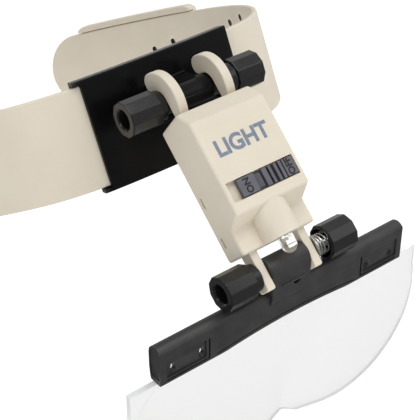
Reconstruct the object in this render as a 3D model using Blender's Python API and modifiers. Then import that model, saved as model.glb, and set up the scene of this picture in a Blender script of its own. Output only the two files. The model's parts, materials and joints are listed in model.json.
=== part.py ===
"""Head visor magnifier: an open headband, a tilting LED lamp box and a tilting lens bar.

The origin is the middle of the flat inner face of the brow pad. +X is the wearer's left,
-Y points forwards, away from the forehead, and +Z is up.
"""
import bmesh
import bpy
from math import asin, cos, pi, radians, sin, sqrt
from mathutils import Matrix, Vector

MM = 0.001
GAP = 0.3 * MM

# Where the two hinge axes lie, and how far the parts that hang on them lean at rest
UPPER_AXIS = Vector((0, -19.73, 4.45)) * MM
UPPER_AXIS_IN_LAMP = Vector((0, 5.75, 1.16)) * MM
LAMP_LEAN = radians(-21.7)
LOWER_AXIS_IN_LAMP = Vector((0, 2.2, -59.0)) * MM
LENS_LEAN = radians(27)

# Headband: the strap's outer face in plan, from the brow backwards, as arcs (radius, length)
BAND_ARCS = [(radius * MM, length * MM) for radius, length in
             ((227, 26.8), (38.3, 25.6), (79.5, 69.3), (205, 84), (73.5, 60))]
BAND_FRONT = -7.3 * MM
STRAP_TOP = 17.0 * MM
STRAP_BOTTOM = -15.9 * MM
STRAP_THICK = 1.9 * MM
STRAP_REACH = 217 * MM
STRAP_STEP = 5 * MM
SIZE_HOLES = [(s * MM, z * MM) for s, z in ((94.5, 12.5), (105.5, 10.5), (146, 6), (158, 4))]
SIZE_HOLE_RADIUS = 1.35 * MM
PEG_RADIUS = 1.05 * MM
PEG_HEIGHT = 1.6 * MM

KEEPER_START = 131 * MM
KEEPER_END = 197 * MM
KEEPER_WALL = 1.6 * MM
KEEPER_LIP = 2.4 * MM

PAD_HALF_ARC = 45 * MM
PAD_HALF_HEIGHT = 13 * MM
PAD_FLAT_HALF = 6 * MM

# Brow plate, its bracket and the barrel of the upper hinge
PLATE_HALF_ARC = 28.6 * MM
PLATE_TAB = 2.2 * MM
PLATE_TOP = 18.7 * MM
PLATE_BOTTOM = -17.6 * MM
PLATE_THICK = 1.1 * MM
PLATE_LIP = 2.1 * MM
BARREL_RADIUS = 4.2 * MM
UPPER_BARREL_HALF = 7.15 * MM
FOOT_HALF = 6.9 * MM
FOOT_THICK = 2.6 * MM

# Hooks of the lamp box around the knobs' necks
HOOK_IN = 7.45 * MM
HOOK_OUT = 10.75 * MM
HOOK_RADIUS = 10.5 * MM
EYE_RADIUS = 4.4 * MM
HOOK_TIP = 91
HOOK_ROOT = 226
HOOK_FOOT = -9.2 * MM

# Bolts and knobs
BOLT_RADIUS = 1.5 * MM
BORE_RADIUS = 1.85 * MM
KNOB_RADIUS = 5.9 * MM
KNOB_FACETS = 10
KNOB_HOLLOW = 3.1 * MM
COLLAR_RADIUS = 5.0 * MM
NECK_RADIUS = 3.6 * MM
UPPER_BOLT = (-17.8 * MM, 19.8 * MM)
UPPER_LEFT_BODY = (13.2 * MM, 24.6 * MM)
UPPER_RIGHT_BODY = (16.4 * MM, 26.6 * MM)
LOWER_BOLT = (-18.2 * MM, 20.0 * MM)
LOWER_LEFT_BODY = (14.2 * MM, 24.6 * MM)
LOWER_RIGHT_BODY = (15.6 * MM, 25.9 * MM)
LOWER_LEFT_NECK = 4.2 * MM
LOWER_LEFT_COLLAR = 4.5 * MM
LOWER_RIGHT_COLLAR = 5.2 * MM
SPRING_CUP = 3.4 * MM
SPRING_END = 18.3 * MM
SPRING_RADIUS = 3.2 * MM
SPRING_WIRE = 0.35 * MM
SPRING_TURNS = 4.5
WASHER_RADIUS = 4.0 * MM
WASHER_THICK = 0.5 * MM

# Lamp box, in its own frame: x across, y back, z up
BOX_HALF = 14.15 * MM
BOX_FRONT = -10.3 * MM
BOX_BACK = 7.6 * MM
BOX_ROOF = [(BOX_FRONT, -10.6 * MM), (-5.3 * MM, -5.5 * MM), (BOX_BACK, -6.8 * MM)]
BOX_ROUNDING = 0.9 * MM
BOX_STEP = -40.7 * MM
PLATFORM_FRONT = -2.75 * MM
PLATFORM_TOP = -44.1 * MM
BOX_BOTTOM = -51.9 * MM
FRONT_WALL = 2.6 * MM
WALL = 1.5 * MM
LEDGE = 0.75 * MM
COVER_THICK = 1.5 * MM
COVER_TOP = -11.6 * MM
SLOT_HALF = 12.7 * MM
SLOT_TOP = -30.85 * MM
SLOT_BOTTOM = -37.25 * MM
SLOT_DEPTH = 1.9 * MM
SLIDER_LENGTH = 21.2 * MM
NOSE_Y = -4.0 * MM
NOSE_RADIUS = 6.1 * MM
NOSE_MOUTH = 6.3 * MM
SLIT_HEIGHTS = [-32.0 * MM, -45.6 * MM]
SLIT_HALF = 1.7 * MM
STEM_TOP = -33.45 * MM
STEM_BOTTOM = -34.65 * MM
STEM_HALF = 0.9 * MM
RIDGES = 7
RIDGE_PITCH = 1.9 * MM
RIDGE_GROOVE = 1.0 * MM
LED_Y = -5.6 * MM
LED_RADIUS = 2.5 * MM
LED_TIP = -57.6 * MM
LED_LENGTH = 8.6 * MM
ARM_IN = 7.9 * MM
ARM_OUT = 10.9 * MM
ARM_FRONT = -0.5 * MM
ARM_BACK = 5.0 * MM
ARM_END = -64.8 * MM

# Lens bar and lens, in the bar's own frame with the lower axis as its origin
LOWER_BARREL_HALF = 7.6 * MM
BAR_HALF = 49.15 * MM
BAR_FRONT = -3.0 * MM
BAR_BACK = 2.9 * MM
BAR_TOP = -6.9 * MM
BAR_BOTTOM = -21.1 * MM
ARCH_HALF = 29 * MM
ARCH_RISE = 2.0 * MM
KEYHOLES = [x * MM for x in (-44.3, -33.6, 33.6, 44.3)]
KEYHOLE_Z = -16.0 * MM
LENS_THICK = 2.0 * MM
LENS_Y = 0.3 * MM
LENS_HALF = 59.5 * MM
LENS_TOP = -21.5 * MM
BAR_END_WALL = 1.5 * MM
DOME_STEP = 0.1 * MM
TONGUE_TOP = -12.6 * MM
LOBE_X = 25.5 * MM
LOBE_Z = -36.5 * MM
LOBE_RADIUS = 34 * MM
NOSE_NOTCH = -62.8 * MM
DOME_X = 26 * MM
DOME_Z = -50 * MM
DOME_RADIUS = 36 * MM
DOME_HEIGHT = 2.6 * MM

# Electrics inside the box
CELL_RADIUS = 10 * MM
CELL_THICK = 3.2 * MM
CELL_Z = -23.0 * MM
CELL_FRONTS = [-2.3 * MM, 1.2 * MM]
CONTACT_HALF = 2.5 * MM
CONTACT_THICK = 0.4 * MM
CONTACT_TOP = -15 * MM
BOARD_HALF = 10.5 * MM
BOARD_TOP = -28.2 * MM
BOARD_BOTTOM = -38.6 * MM
BOARD_HOLE = 0.8 * MM
LEAD_SPREAD = 1.27 * MM

ROUND = 32

for old in list(bpy.data.objects):
    bpy.data.objects.remove(old, do_unlink=True)


def new_collection(name):
    collection = bpy.data.collections.new(name)
    bpy.context.scene.collection.children.link(collection)
    return collection


PARTS = new_collection("head_visor_magnifier")
CUTTERS = new_collection("cutters")


def material(name, colour, roughness, metallic=0.0, transmission=0.0):
    made = bpy.data.materials.new(name)
    made.use_nodes = True
    shader = made.node_tree.nodes["Principled BSDF"]
    shader.inputs["Base Color"].default_value = (*colour, 1)
    shader.inputs["Roughness"].default_value = roughness
    shader.inputs["Metallic"].default_value = metallic
    shader.inputs["Transmission Weight"].default_value = transmission
    return made


CREAM = material("cream_plastic", (0.76, 0.69, 0.57), 0.45)
BLACK = material("black_plastic", (0.02, 0.02, 0.02), 0.4)
GREY = material("dark_grey_plastic", (0.08, 0.08, 0.1), 0.5)
STEEL = material("steel", (0.6, 0.6, 0.6), 0.3, 1.0)
FOAM = material("black_foam", (0.03, 0.03, 0.03), 0.9)
CLEAR = material("clear_acrylic", (0.95, 0.97, 0.97), 0.03, 0.0, 1.0)
BOARD = material("green_board", (0.03, 0.2, 0.08), 0.5)
COPPER = material("tinned_copper", (0.75, 0.6, 0.45), 0.35, 1.0)


def frame(name, location, lean, parent=None):
    """An empty on a hinge axis, which carries the pieces that turn about it."""
    empty = bpy.data.objects.new(name, None)
    PARTS.objects.link(empty)
    empty.parent = parent
    empty.location = location
    empty.rotation_euler.x = lean
    return empty


TILT = frame("lamp_axis", UPPER_AXIS, LAMP_LEAN)
LAMP = frame("lamp_box_frame", -UPPER_AXIS_IN_LAMP, 0, TILT)
LENS = frame("lens_axis", LOWER_AXIS_IN_LAMP, LENS_LEAN - LAMP_LEAN, LAMP)


def add_mesh(name, mesh, finish, parent=None):
    """A part when it has a finish, and otherwise a cutter or a shape to be joined."""
    made = bpy.data.objects.new(name, mesh)
    made.parent = parent
    if finish is None:
        CUTTERS.objects.link(made)
        made.hide_render = True
        made.display_type = "WIRE"
    else:
        PARTS.objects.link(made)
        mesh.materials.append(finish)
    return made


def bevel(made, width, segments=2):
    rounding = made.modifiers.new("rounding", "BEVEL")
    rounding.width = width
    rounding.segments = segments
    rounding.limit_method = "ANGLE"
    rounding.angle_limit = radians(35)
    return made


def box(name, low, high, finish=None, parent=None, rounding=0.0):
    low, high = Vector(low), Vector(high)
    shape = bmesh.new()
    bmesh.ops.create_cube(shape, size=1, matrix=Matrix.Translation((low + high) / 2)
                          @ Matrix.Diagonal((*(high - low), 1)))
    mesh = bpy.data.meshes.new(name)
    shape.to_mesh(mesh)
    shape.free()
    made = add_mesh(name, mesh, finish, parent)
    return bevel(made, rounding) if rounding else made


def rod(name, radius, start, end, finish=None, parent=None, sides=ROUND, turn=0.0):
    """A cylinder, or a prism with few sides, between two points."""
    start, end = Vector(start), Vector(end)
    shape = bmesh.new()
    place = (Matrix.Translation((start + end) / 2)
             @ (end - start).to_track_quat("Z", "Y").to_matrix().to_4x4() @ Matrix.Rotation(turn, 4, "Z"))
    bmesh.ops.create_cone(shape, cap_ends=True, segments=sides, radius1=radius, radius2=radius,
                          depth=(end - start).length, matrix=place)
    mesh = bpy.data.meshes.new(name)
    shape.to_mesh(mesh)
    shape.free()
    smooth(mesh)
    return add_mesh(name, mesh, finish, parent)


def smooth(mesh):
    mesh.shade_smooth()
    mesh.set_sharp_from_angle(angle=radians(35))


# The axes along which an outline (u, v) is pushed, as matrices from (u, v, depth) to (x, y, z)
ALONG_X = Matrix(((0, 0, 1, 0), (1, 0, 0, 0), (0, 1, 0, 0), (0, 0, 0, 1)))      # u is y, v is z
ALONG_Y = Matrix(((1, 0, 0, 0), (0, 0, 1, 0), (0, 1, 0, 0), (0, 0, 0, 1)))      # u is x, v is z


def extrude_mesh(name, outlines, start, end, axes):
    """A closed outline, with any holes, pushed from start to end along the third axis."""
    curve = bpy.data.curves.new(name, "CURVE")
    curve.dimensions = "2D"
    curve.fill_mode = "BOTH"
    curve.extrude = abs(end - start) / 2
    for outline in outlines:
        spline = curve.splines.new("POLY")
        spline.points.add(len(outline) - 1)
        for point, (u, v) in zip(spline.points, outline):
            point.co = (u, v, 0, 1)
        spline.use_cyclic_u = True
    carrier = bpy.data.objects.new(name, curve)
    CUTTERS.objects.link(carrier)
    bpy.context.view_layer.update()
    mesh = bpy.data.meshes.new_from_object(carrier.evaluated_get(bpy.context.evaluated_depsgraph_get()))
    bpy.data.objects.remove(carrier, do_unlink=True)
    mesh.transform(axes @ Matrix.Translation((0, 0, (start + end) / 2)))
    shape = bmesh.new()
    shape.from_mesh(mesh)
    bmesh.ops.remove_doubles(shape, verts=shape.verts, dist=1e-6)
    bmesh.ops.recalc_face_normals(shape, faces=shape.faces)
    shape.to_mesh(mesh)
    shape.free()
    return mesh


def extrude(name, outlines, start, end, axes=ALONG_X, finish=None, parent=None, rounding=0.0):
    made = add_mesh(name, extrude_mesh(name, outlines, start, end, axes), finish, parent)
    return bevel(made, rounding) if rounding else made


def arc(centre, radius, start, end, steps):
    """Points of an arc between two angles in degrees."""
    angles = [radians(start + (end - start) * i / steps) for i in range(steps + 1)]
    return [(centre[0] + radius * cos(a), centre[1] + radius * sin(a)) for a in angles]


def turned(name, profile, place, finish=None, parent=None, sides=ROUND):
    """A profile of (radius, height), from the top down its outer side, turned about an axis."""
    mesh = bpy.data.meshes.new(name)
    mesh.from_pydata([(r, 0, h) for r, h in profile], [(i, i + 1) for i in range(len(profile) - 1)], [])
    made = add_mesh(name, mesh, finish, parent)
    made.matrix_local = place
    screw = made.modifiers.new("turning", "SCREW")
    screw.steps = screw.render_steps = sides
    screw.use_merge_vertices = True
    screw.merge_threshold = 1e-6
    return made


def across(x, y=0.0, z=0.0, outwards=1):
    """A turned piece's axis laid along X, with its top at the right or, for -1, at the left."""
    return Matrix.Translation((x, y, z)) @ Matrix.Rotation(outwards * pi / 2, 4, "Y")


def boolean(made, tool, operation):
    step = made.modifiers.new(tool.name, "BOOLEAN")
    step.operation = operation
    step.object = tool
    return made


def cut(made, *tools):
    for tool in tools:
        boolean(made, tool, "DIFFERENCE")
    return made


def join(made, *tools):
    for tool in tools:
        boolean(made, tool, "UNION")
    return made


# ---------------------------------------------------------------- headband

def band_point(s, outwards, z):
    """A point at arc length s from the brow's middle, off the strap's outer face by outwards."""
    x, y, heading, left = 0.0, BAND_FRONT, 0.0, abs(s)
    for radius, length in BAND_ARCS:
        turn = min(left, length) / radius
        chord = 2 * radius * sin(turn / 2)
        x += chord * cos(heading + turn / 2)
        y += chord * sin(heading + turn / 2)
        heading += turn
        left -= min(left, length)
    side = -1 if s < 0 else 1
    return Vector((side * (x + outwards * sin(heading)), y - outwards * cos(heading), z))


def stations(start, end, step):
    count = max(1, round((end - start) / step))
    return [start + (end - start) * i / count for i in range(count + 1)]


def skin(shape, rings, name):
    """A closed mesh over equal rings of points, with a cap on the first and the last."""
    for ring, after in zip(rings, rings[1:]):
        for i in range(len(ring)):
            j = (i + 1) % len(ring)
            shape.faces.new((ring[i], ring[j], after[j], after[i]))
    shape.faces.new(rings[0])
    shape.faces.new(rings[-1])
    bmesh.ops.recalc_face_normals(shape, faces=shape.faces)
    mesh = bpy.data.meshes.new(name)
    shape.to_mesh(mesh)
    shape.free()
    return mesh


def sweep(name, section, places, finish=None):
    """A closed section of (outwards, z) carried along the band."""
    shape = bmesh.new()
    rings = [[shape.verts.new(band_point(s, t, z)) for t, z in section] for s in places]
    return add_mesh(name, skin(shape, rings, name), finish)


def strap():
    """A strip with round ends, bent along the band, with size holes right and pegs left."""
    middle = (STRAP_TOP + STRAP_BOTTOM) / 2
    half = (STRAP_TOP - STRAP_BOTTOM) / 2
    straight = STRAP_REACH - half
    end_turns = [radians(a) for a in (18, 36, 52, 66, 77, 86)]
    heights = [(s, half) for s in stations(-straight, straight, STRAP_STEP)]
    heights = ([(-straight - half * sin(a), half * cos(a)) for a in reversed(end_turns)] + heights
               + [(straight + half * sin(a), half * cos(a)) for a in end_turns])
    shape = bmesh.new()
    rings = [[shape.verts.new(band_point(s, t, middle + up * height))
              for t, up in ((0, -1), (0, 1), (-STRAP_THICK, 1), (-STRAP_THICK, -1))] for s, height in heights]
    made = add_mesh("headband_strap", skin(shape, rings, "headband_strap"), CREAM)
    for number, (s, z) in enumerate(SIZE_HOLES):
        inner, outer = band_point(s, -5 * MM, z), band_point(s, 4 * MM, z)
        cut(made, rod(f"size_hole_{number}", SIZE_HOLE_RADIUS, inner, outer, sides=14))
    for number, (s, z) in enumerate(SIZE_HOLES[2:]):
        inner = band_point(-s, -STRAP_THICK / 2, z)
        outer = band_point(-s, PEG_HEIGHT, z)
        join(made, rod(f"size_peg_{number}", PEG_RADIUS, inner, outer, sides=14))


def keeper():
    """A channel outside the right side of the strap, lipped over both of its edges."""
    inside = STRAP_THICK + GAP
    top, bottom = STRAP_TOP + GAP, STRAP_BOTTOM - GAP
    section = [(GAP + KEEPER_WALL, bottom - KEEPER_LIP), (GAP + KEEPER_WALL, top + KEEPER_LIP),
               (-inside, top + KEEPER_LIP), (-inside, top), (GAP, top), (GAP, bottom),
               (-inside, bottom), (-inside, bottom - KEEPER_LIP)]
    places = stations(KEEPER_START, KEEPER_END, STRAP_STEP)
    bevel(sweep("keeper_sleeve", section, places, CREAM), 0.4 * MM, 1)


def brow_pad():
    inner = -band_point(PAD_FLAT_HALF, 0, 0).y
    outer = -STRAP_THICK - GAP
    section = [(outer, -PAD_HALF_HEIGHT), (outer, PAD_HALF_HEIGHT), (-inner, PAD_HALF_HEIGHT),
               (-inner, -PAD_HALF_HEIGHT)]
    half = stations(PAD_FLAT_HALF, PAD_HALF_ARC, 6.5 * MM)
    sweep("brow_pad", section, [-s for s in reversed(half)] + half, FOAM)


def brow_plate():
    """A curved plate, its flanges gripping the strap, with the bracket of the upper hinge."""
    grip = -STRAP_THICK - GAP
    back = grip - 1.0 * MM
    front = GAP + PLATE_THICK
    top, bottom = STRAP_TOP + GAP, STRAP_BOTTOM - GAP
    section = [(front, PLATE_BOTTOM), (front, PLATE_TOP), (back, PLATE_TOP), (back, top - PLATE_LIP),
               (grip, top - PLATE_LIP), (grip, top), (GAP, top), (GAP, bottom), (grip, bottom),
               (grip, bottom + PLATE_LIP), (back, bottom + PLATE_LIP), (back, PLATE_BOTTOM)]
    reach = PLATE_HALF_ARC + PLATE_TAB
    made = sweep("brow_plate", section, stations(-reach, reach, 4.5 * MM), BLACK)
    # the plate's face ends short of the flanges on the right, and both end together on the left
    edge = PLATE_HALF_ARC - 0.2 * MM
    cut(made, box("plate_step", (-reach - 3 * MM, BAND_FRONT - 6 * MM, bottom - 0.1 * MM),
                  (-edge, BAND_FRONT + 2.1 * MM, top + 0.1 * MM)))
    cut(made, box("plate_end", (edge, BAND_FRONT - 6 * MM, PLATE_BOTTOM - MM),
                  (reach + 3 * MM, BAND_FRONT + 9 * MM, PLATE_TOP + MM)))
    y, z = UPPER_AXIS.y, UPPER_AXIS.z
    base = BAND_FRONT - 0.8 * MM
    rim = arc((y, z), BARREL_RADIUS, 75, 285, 14) + [(base, z - 7 * MM), (base, z + 5.5 * MM)]
    web = extrude("bracket_web", [rim], -UPPER_BARREL_HALF, UPPER_BARREL_HALF)
    foot = box("bracket_foot", (-FOOT_HALF, base - FOOT_THICK, z - 7.6 * MM), (FOOT_HALF, base, z + 6 * MM),
               rounding=0.6 * MM)
    bore = rod("upper_bore", BORE_RADIUS, (-20 * MM, y, z), (20 * MM, y, z))
    cut(join(made, foot, web), bore)


# ---------------------------------------------------------------- bolts and knobs

def bolt(name, start, end, parent, centre):
    chamfer = 0.4 * MM
    length = end - start
    profile = [(0, length), (BOLT_RADIUS - chamfer, length), (BOLT_RADIUS, length - chamfer),
               (BOLT_RADIUS, chamfer), (BOLT_RADIUS - chamfer, 0), (0, 0)]
    turned(name, profile, across(start, *centre), STEEL, parent, 24)


def knob(name, side, parent, centre, inner, collar, body, collar_radius, neck_radius, cup=0.0):
    """A faceted knob: neck, round collar and faceted body, hollow outside, bored for the bolt.

    The distances run outwards from the middle: inner end, start of the collar, and the start
    and end of the body. A cup is a recess for a spring in the inner end.
    """
    y, z = centre
    start, end = body

    def at(x):
        return (side * x, y, z)

    profile = [(0, start + 0.5 * MM), (collar_radius, start + 0.5 * MM), (collar_radius, collar),
               (neck_radius, collar), (neck_radius, inner), (0, inner)]
    made = turned(name, profile, across(0, y, z, side), BLACK, parent)
    facets = rod(f"{name}_facets", KNOB_RADIUS, at(start), at(end), None, parent, KNOB_FACETS)
    join(made, bevel(facets, 0.35 * MM, 1))
    hollow = rod(f"{name}_hollow", KNOB_HOLLOW, at(end - 6.5 * MM), at(end + 2 * MM), None, parent)
    bore = rod(f"{name}_bore", BORE_RADIUS, at(inner - 2 * MM), at(end - 5 * MM), None, parent)
    cut(made, hollow, bore)
    if cup:
        cut(made, rod(f"{name}_cup", COLLAR_RADIUS - 0.3 * MM, at(inner - MM), at(inner + cup), None, parent))


def upper_hinge():
    centre = (UPPER_AXIS.y, UPPER_AXIS.z)
    bolt("upper_bolt", *UPPER_BOLT, None, centre)
    neck = UPPER_BARREL_HALF + GAP
    flange = HOOK_OUT + GAP
    knob("upper_knob_left", -1, None, centre, neck, flange, UPPER_LEFT_BODY, COLLAR_RADIUS, NECK_RADIUS)
    knob("upper_knob_right", 1, None, centre, neck, flange, UPPER_RIGHT_BODY, COLLAR_RADIUS, NECK_RADIUS)


def wire(name, route, radius, finish):
    """A round wire through a list of points, in the lamp's frame."""
    curve = bpy.data.curves.new(name, "CURVE")
    curve.dimensions = "3D"
    curve.bevel_depth = radius
    curve.bevel_resolution = 2
    curve.use_fill_caps = True
    spline = curve.splines.new("POLY")
    spline.points.add(len(route) - 1)
    for point, place in zip(spline.points, route):
        point.co = (*place, 1)
    made = bpy.data.objects.new(name, curve)
    made.parent = LAMP
    curve.materials.append(finish)
    PARTS.objects.link(made)


def clamp_spring(start, end, axis):
    """A coil about the lower bolt, from the washer to the cup of the lower right knob."""
    per_turn = 14
    count = round(SPRING_TURNS * per_turn)
    route = []
    for i in range(count + 1):
        angle = 2 * pi * i / per_turn
        route.append((start + SPRING_WIRE + (end - start - 2 * SPRING_WIRE) * i / count,
                      axis.y + SPRING_RADIUS * cos(angle), axis.z + SPRING_RADIUS * sin(angle)))
    wire("clamp_spring", route, SPRING_WIRE, STEEL)


def lower_hinge():
    axis = LOWER_AXIS_IN_LAMP
    centre = (axis.y, axis.z)
    bolt("lower_bolt", *LOWER_BOLT, LAMP, centre)
    seat = ARM_OUT + GAP
    knob("lower_knob_left", -1, LAMP, centre, seat, seat + 0.2 * MM, LOWER_LEFT_BODY,
         LOWER_LEFT_COLLAR, LOWER_LEFT_NECK)
    inner = LOWER_RIGHT_BODY[0] - 0.4 * MM
    knob("lower_knob_right", 1, LAMP, centre, inner, inner + 0.2 * MM, LOWER_RIGHT_BODY,
         LOWER_RIGHT_COLLAR, LOWER_RIGHT_COLLAR, SPRING_CUP)
    washer = [(BORE_RADIUS, WASHER_THICK), (WASHER_RADIUS, WASHER_THICK), (WASHER_RADIUS, 0),
              (BORE_RADIUS, 0), (BORE_RADIUS, WASHER_THICK)]
    turned("spring_washer", washer, across(seat, *centre), STEEL, LAMP)
    clamp_spring(seat + WASHER_THICK + GAP, SPRING_END, axis)


# ---------------------------------------------------------------- lamp box

def side_profile(inset, roof):
    """The box seen from its side, under a roof that runs from its front to its back, set in by inset."""
    front, back = roof[0][0], roof[-1][0]
    platform = PLATFORM_FRONT + front - BOX_FRONT
    return roof + [(back, BOX_BOTTOM + inset), (platform, BOX_BOTTOM + inset),
                   (platform, PLATFORM_TOP + inset / 2), (front, BOX_STEP + inset / 2)]


def hook(side):
    """A C open to the back: from a round tip over the top and the front down into the box."""
    centre_y, centre_z = UPPER_AXIS_IN_LAMP.yz
    centre = (centre_y, centre_z)
    middle = (HOOK_RADIUS + EYE_RADIUS) / 2
    tip_centre = arc(centre, middle, HOOK_TIP, HOOK_TIP, 1)[0]
    rim = arc(centre, HOOK_RADIUS, HOOK_TIP, HOOK_ROOT, 20)
    rim += [(rim[-1][0], centre_z + HOOK_FOOT), (centre_y - EYE_RADIUS, centre_z + HOOK_FOOT)]
    rim += arc(centre, EYE_RADIUS, 185, HOOK_TIP, 10)
    rim += arc(tip_centre, (HOOK_RADIUS - EYE_RADIUS) / 2, HOOK_TIP + 180, HOOK_TIP + 360, 8)[1:-1]
    low, high = sorted((side * HOOK_IN, side * HOOK_OUT))
    return extrude(f"hook_{side}", [rim], low, high, parent=LAMP, rounding=0.5 * MM)


def lamp_front_shell():
    made = extrude("lamp_front_shell", [side_profile(0, BOX_ROOF)], -BOX_HALF, BOX_HALF, finish=CREAM,
                   parent=LAMP, rounding=BOX_ROUNDING)
    # the nose around the lamp, a little wider at its mouth
    nose_top, chamfer = BOX_STEP + 0.6 * MM, 0.5 * MM
    nose = [(0, nose_top), (NOSE_RADIUS, nose_top), (NOSE_MOUTH, BOX_BOTTOM + chamfer),
            (NOSE_MOUTH - chamfer, BOX_BOTTOM), (0, BOX_BOTTOM)]
    join(made, turned("nose", nose, Matrix.Translation((0, NOSE_Y, 0)), None, LAMP))
    corner = 0.8 * MM
    for side in (-1, 1):
        join(made, hook(side))
        low, high = sorted((side * ARM_IN, side * ARM_OUT))
        arm = [(ARM_FRONT, BOX_BOTTOM + corner), (ARM_FRONT, ARM_END + corner),
               (ARM_FRONT + corner, ARM_END), (ARM_BACK - corner, ARM_END),
               (ARM_BACK, ARM_END + corner), (ARM_BACK, BOX_BOTTOM + corner)]
        join(made, extrude(f"arm_{side}", [arm], low, high, parent=LAMP))
    cavity_half = BOX_HALF - WALL - LEDGE
    ceiling = [(BOX_FRONT + FRONT_WALL, COVER_TOP - LEDGE), (BOX_BACK + 2 * MM, COVER_TOP - LEDGE)]
    cavity = extrude("cavity", [side_profile(WALL + LEDGE, ceiling)], -cavity_half, cavity_half, parent=LAMP)
    mouth = box("cover_seat", (WALL - BOX_HALF, BOX_BACK - COVER_THICK - GAP, BOX_BOTTOM + WALL),
                (BOX_HALF - WALL, BOX_BACK + MM, COVER_TOP), parent=LAMP)
    slot = box("slider_slot", (-SLOT_HALF, BOX_FRONT - MM, SLOT_BOTTOM),
               (SLOT_HALF, BOX_FRONT + SLOT_DEPTH, SLOT_TOP), parent=LAMP)
    window = box("stem_window", (-3.3 * MM, BOX_FRONT + MM, -35.1 * MM),
                 (3.3 * MM, BOX_FRONT + 4 * MM, -33.0 * MM), parent=LAMP)
    tunnel = rod("led_tunnel", LED_RADIUS + GAP, (0, LED_Y, BOX_BOTTOM - MM), (0, LED_Y, BOX_STEP + 2.2 * MM),
                 parent=LAMP, turn=0.05)
    axis = LOWER_AXIS_IN_LAMP
    bore = rod("arm_bore", BORE_RADIUS, (-20 * MM, axis.y, axis.z), (20 * MM, axis.y, axis.z), parent=LAMP)
    cut(made, cavity, mouth, slot, window, tunnel, bore)
    for side in (-1, 1):
        for number, z in enumerate(SLIT_HEIGHTS):
            low, high = sorted((side * (BOX_HALF - 2 * WALL), side * (BOX_HALF + MM)))
            cut(made, box(f"snap_slit_{side}_{number}", (low, 4.3 * MM, z - SLIT_HALF),
                          (high, 5.2 * MM, z + SLIT_HALF), parent=LAMP))


def lamp_back_cover():
    """A flat lid inside the rim, with two ribs that grip the box's walls."""
    lid = box("lamp_back_cover", (WALL + GAP - BOX_HALF, BOX_BACK - COVER_THICK, BOX_BOTTOM + WALL + GAP),
              (BOX_HALF - WALL - GAP, BOX_BACK, COVER_TOP - GAP), CREAM, LAMP, 0.3 * MM)
    for side in (-1, 1):
        wall = BOX_HALF - WALL - LEDGE
        low, high = sorted((side * (wall - GAP), side * (wall - 1.3 * MM)))
        join(lid, box(f"cover_rib_{side}", (low, BOX_BACK - COVER_THICK - 2.4 * MM, -48.4 * MM),
                      (high, BOX_BACK - 0.7 * MM, -33.0 * MM), parent=LAMP))


def switch():
    slider_right = SLOT_HALF - 0.4 * MM
    slider_left = slider_right - SLIDER_LENGTH
    middle = (slider_left + slider_right) / 2
    face, floor = BOX_FRONT - 0.1 * MM, BOX_FRONT + SLOT_DEPTH - GAP
    low, high = SLOT_BOTTOM + 0.35 * MM, SLOT_TOP - 0.35 * MM
    slider = box("switch_slider", (slider_left, face, low), (slider_right, floor, high), GREY, LAMP, 0.2 * MM)
    grooves = RIDGES - 1
    for i in range(grooves):
        x = middle + (i - (grooves - 1) / 2) * RIDGE_PITCH
        cut(slider, box(f"ridge_groove_{i}", (x - RIDGE_GROOVE / 2, face - MM, low - MM),
                        (x + RIDGE_GROOVE / 2, face + 0.7 * MM, high + MM), parent=LAMP))
    join(slider, box("slider_stem", (middle - STEM_HALF, floor - 0.5 * MM, STEM_BOTTOM),
                     (middle + STEM_HALF, -5.9 * MM, STEM_TOP), parent=LAMP))
    body = box("switch_body", (-6.5 * MM, -7.3 * MM, -37.0 * MM), (6.5 * MM, -5.5 * MM, -31.0 * MM), STEEL,
               LAMP, 0.2 * MM)
    cut(body, box("stem_channel", (-3.4 * MM, -8 * MM, -35.0 * MM), (3.4 * MM, -5.7 * MM, -33.1 * MM),
                  parent=LAMP))


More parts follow.
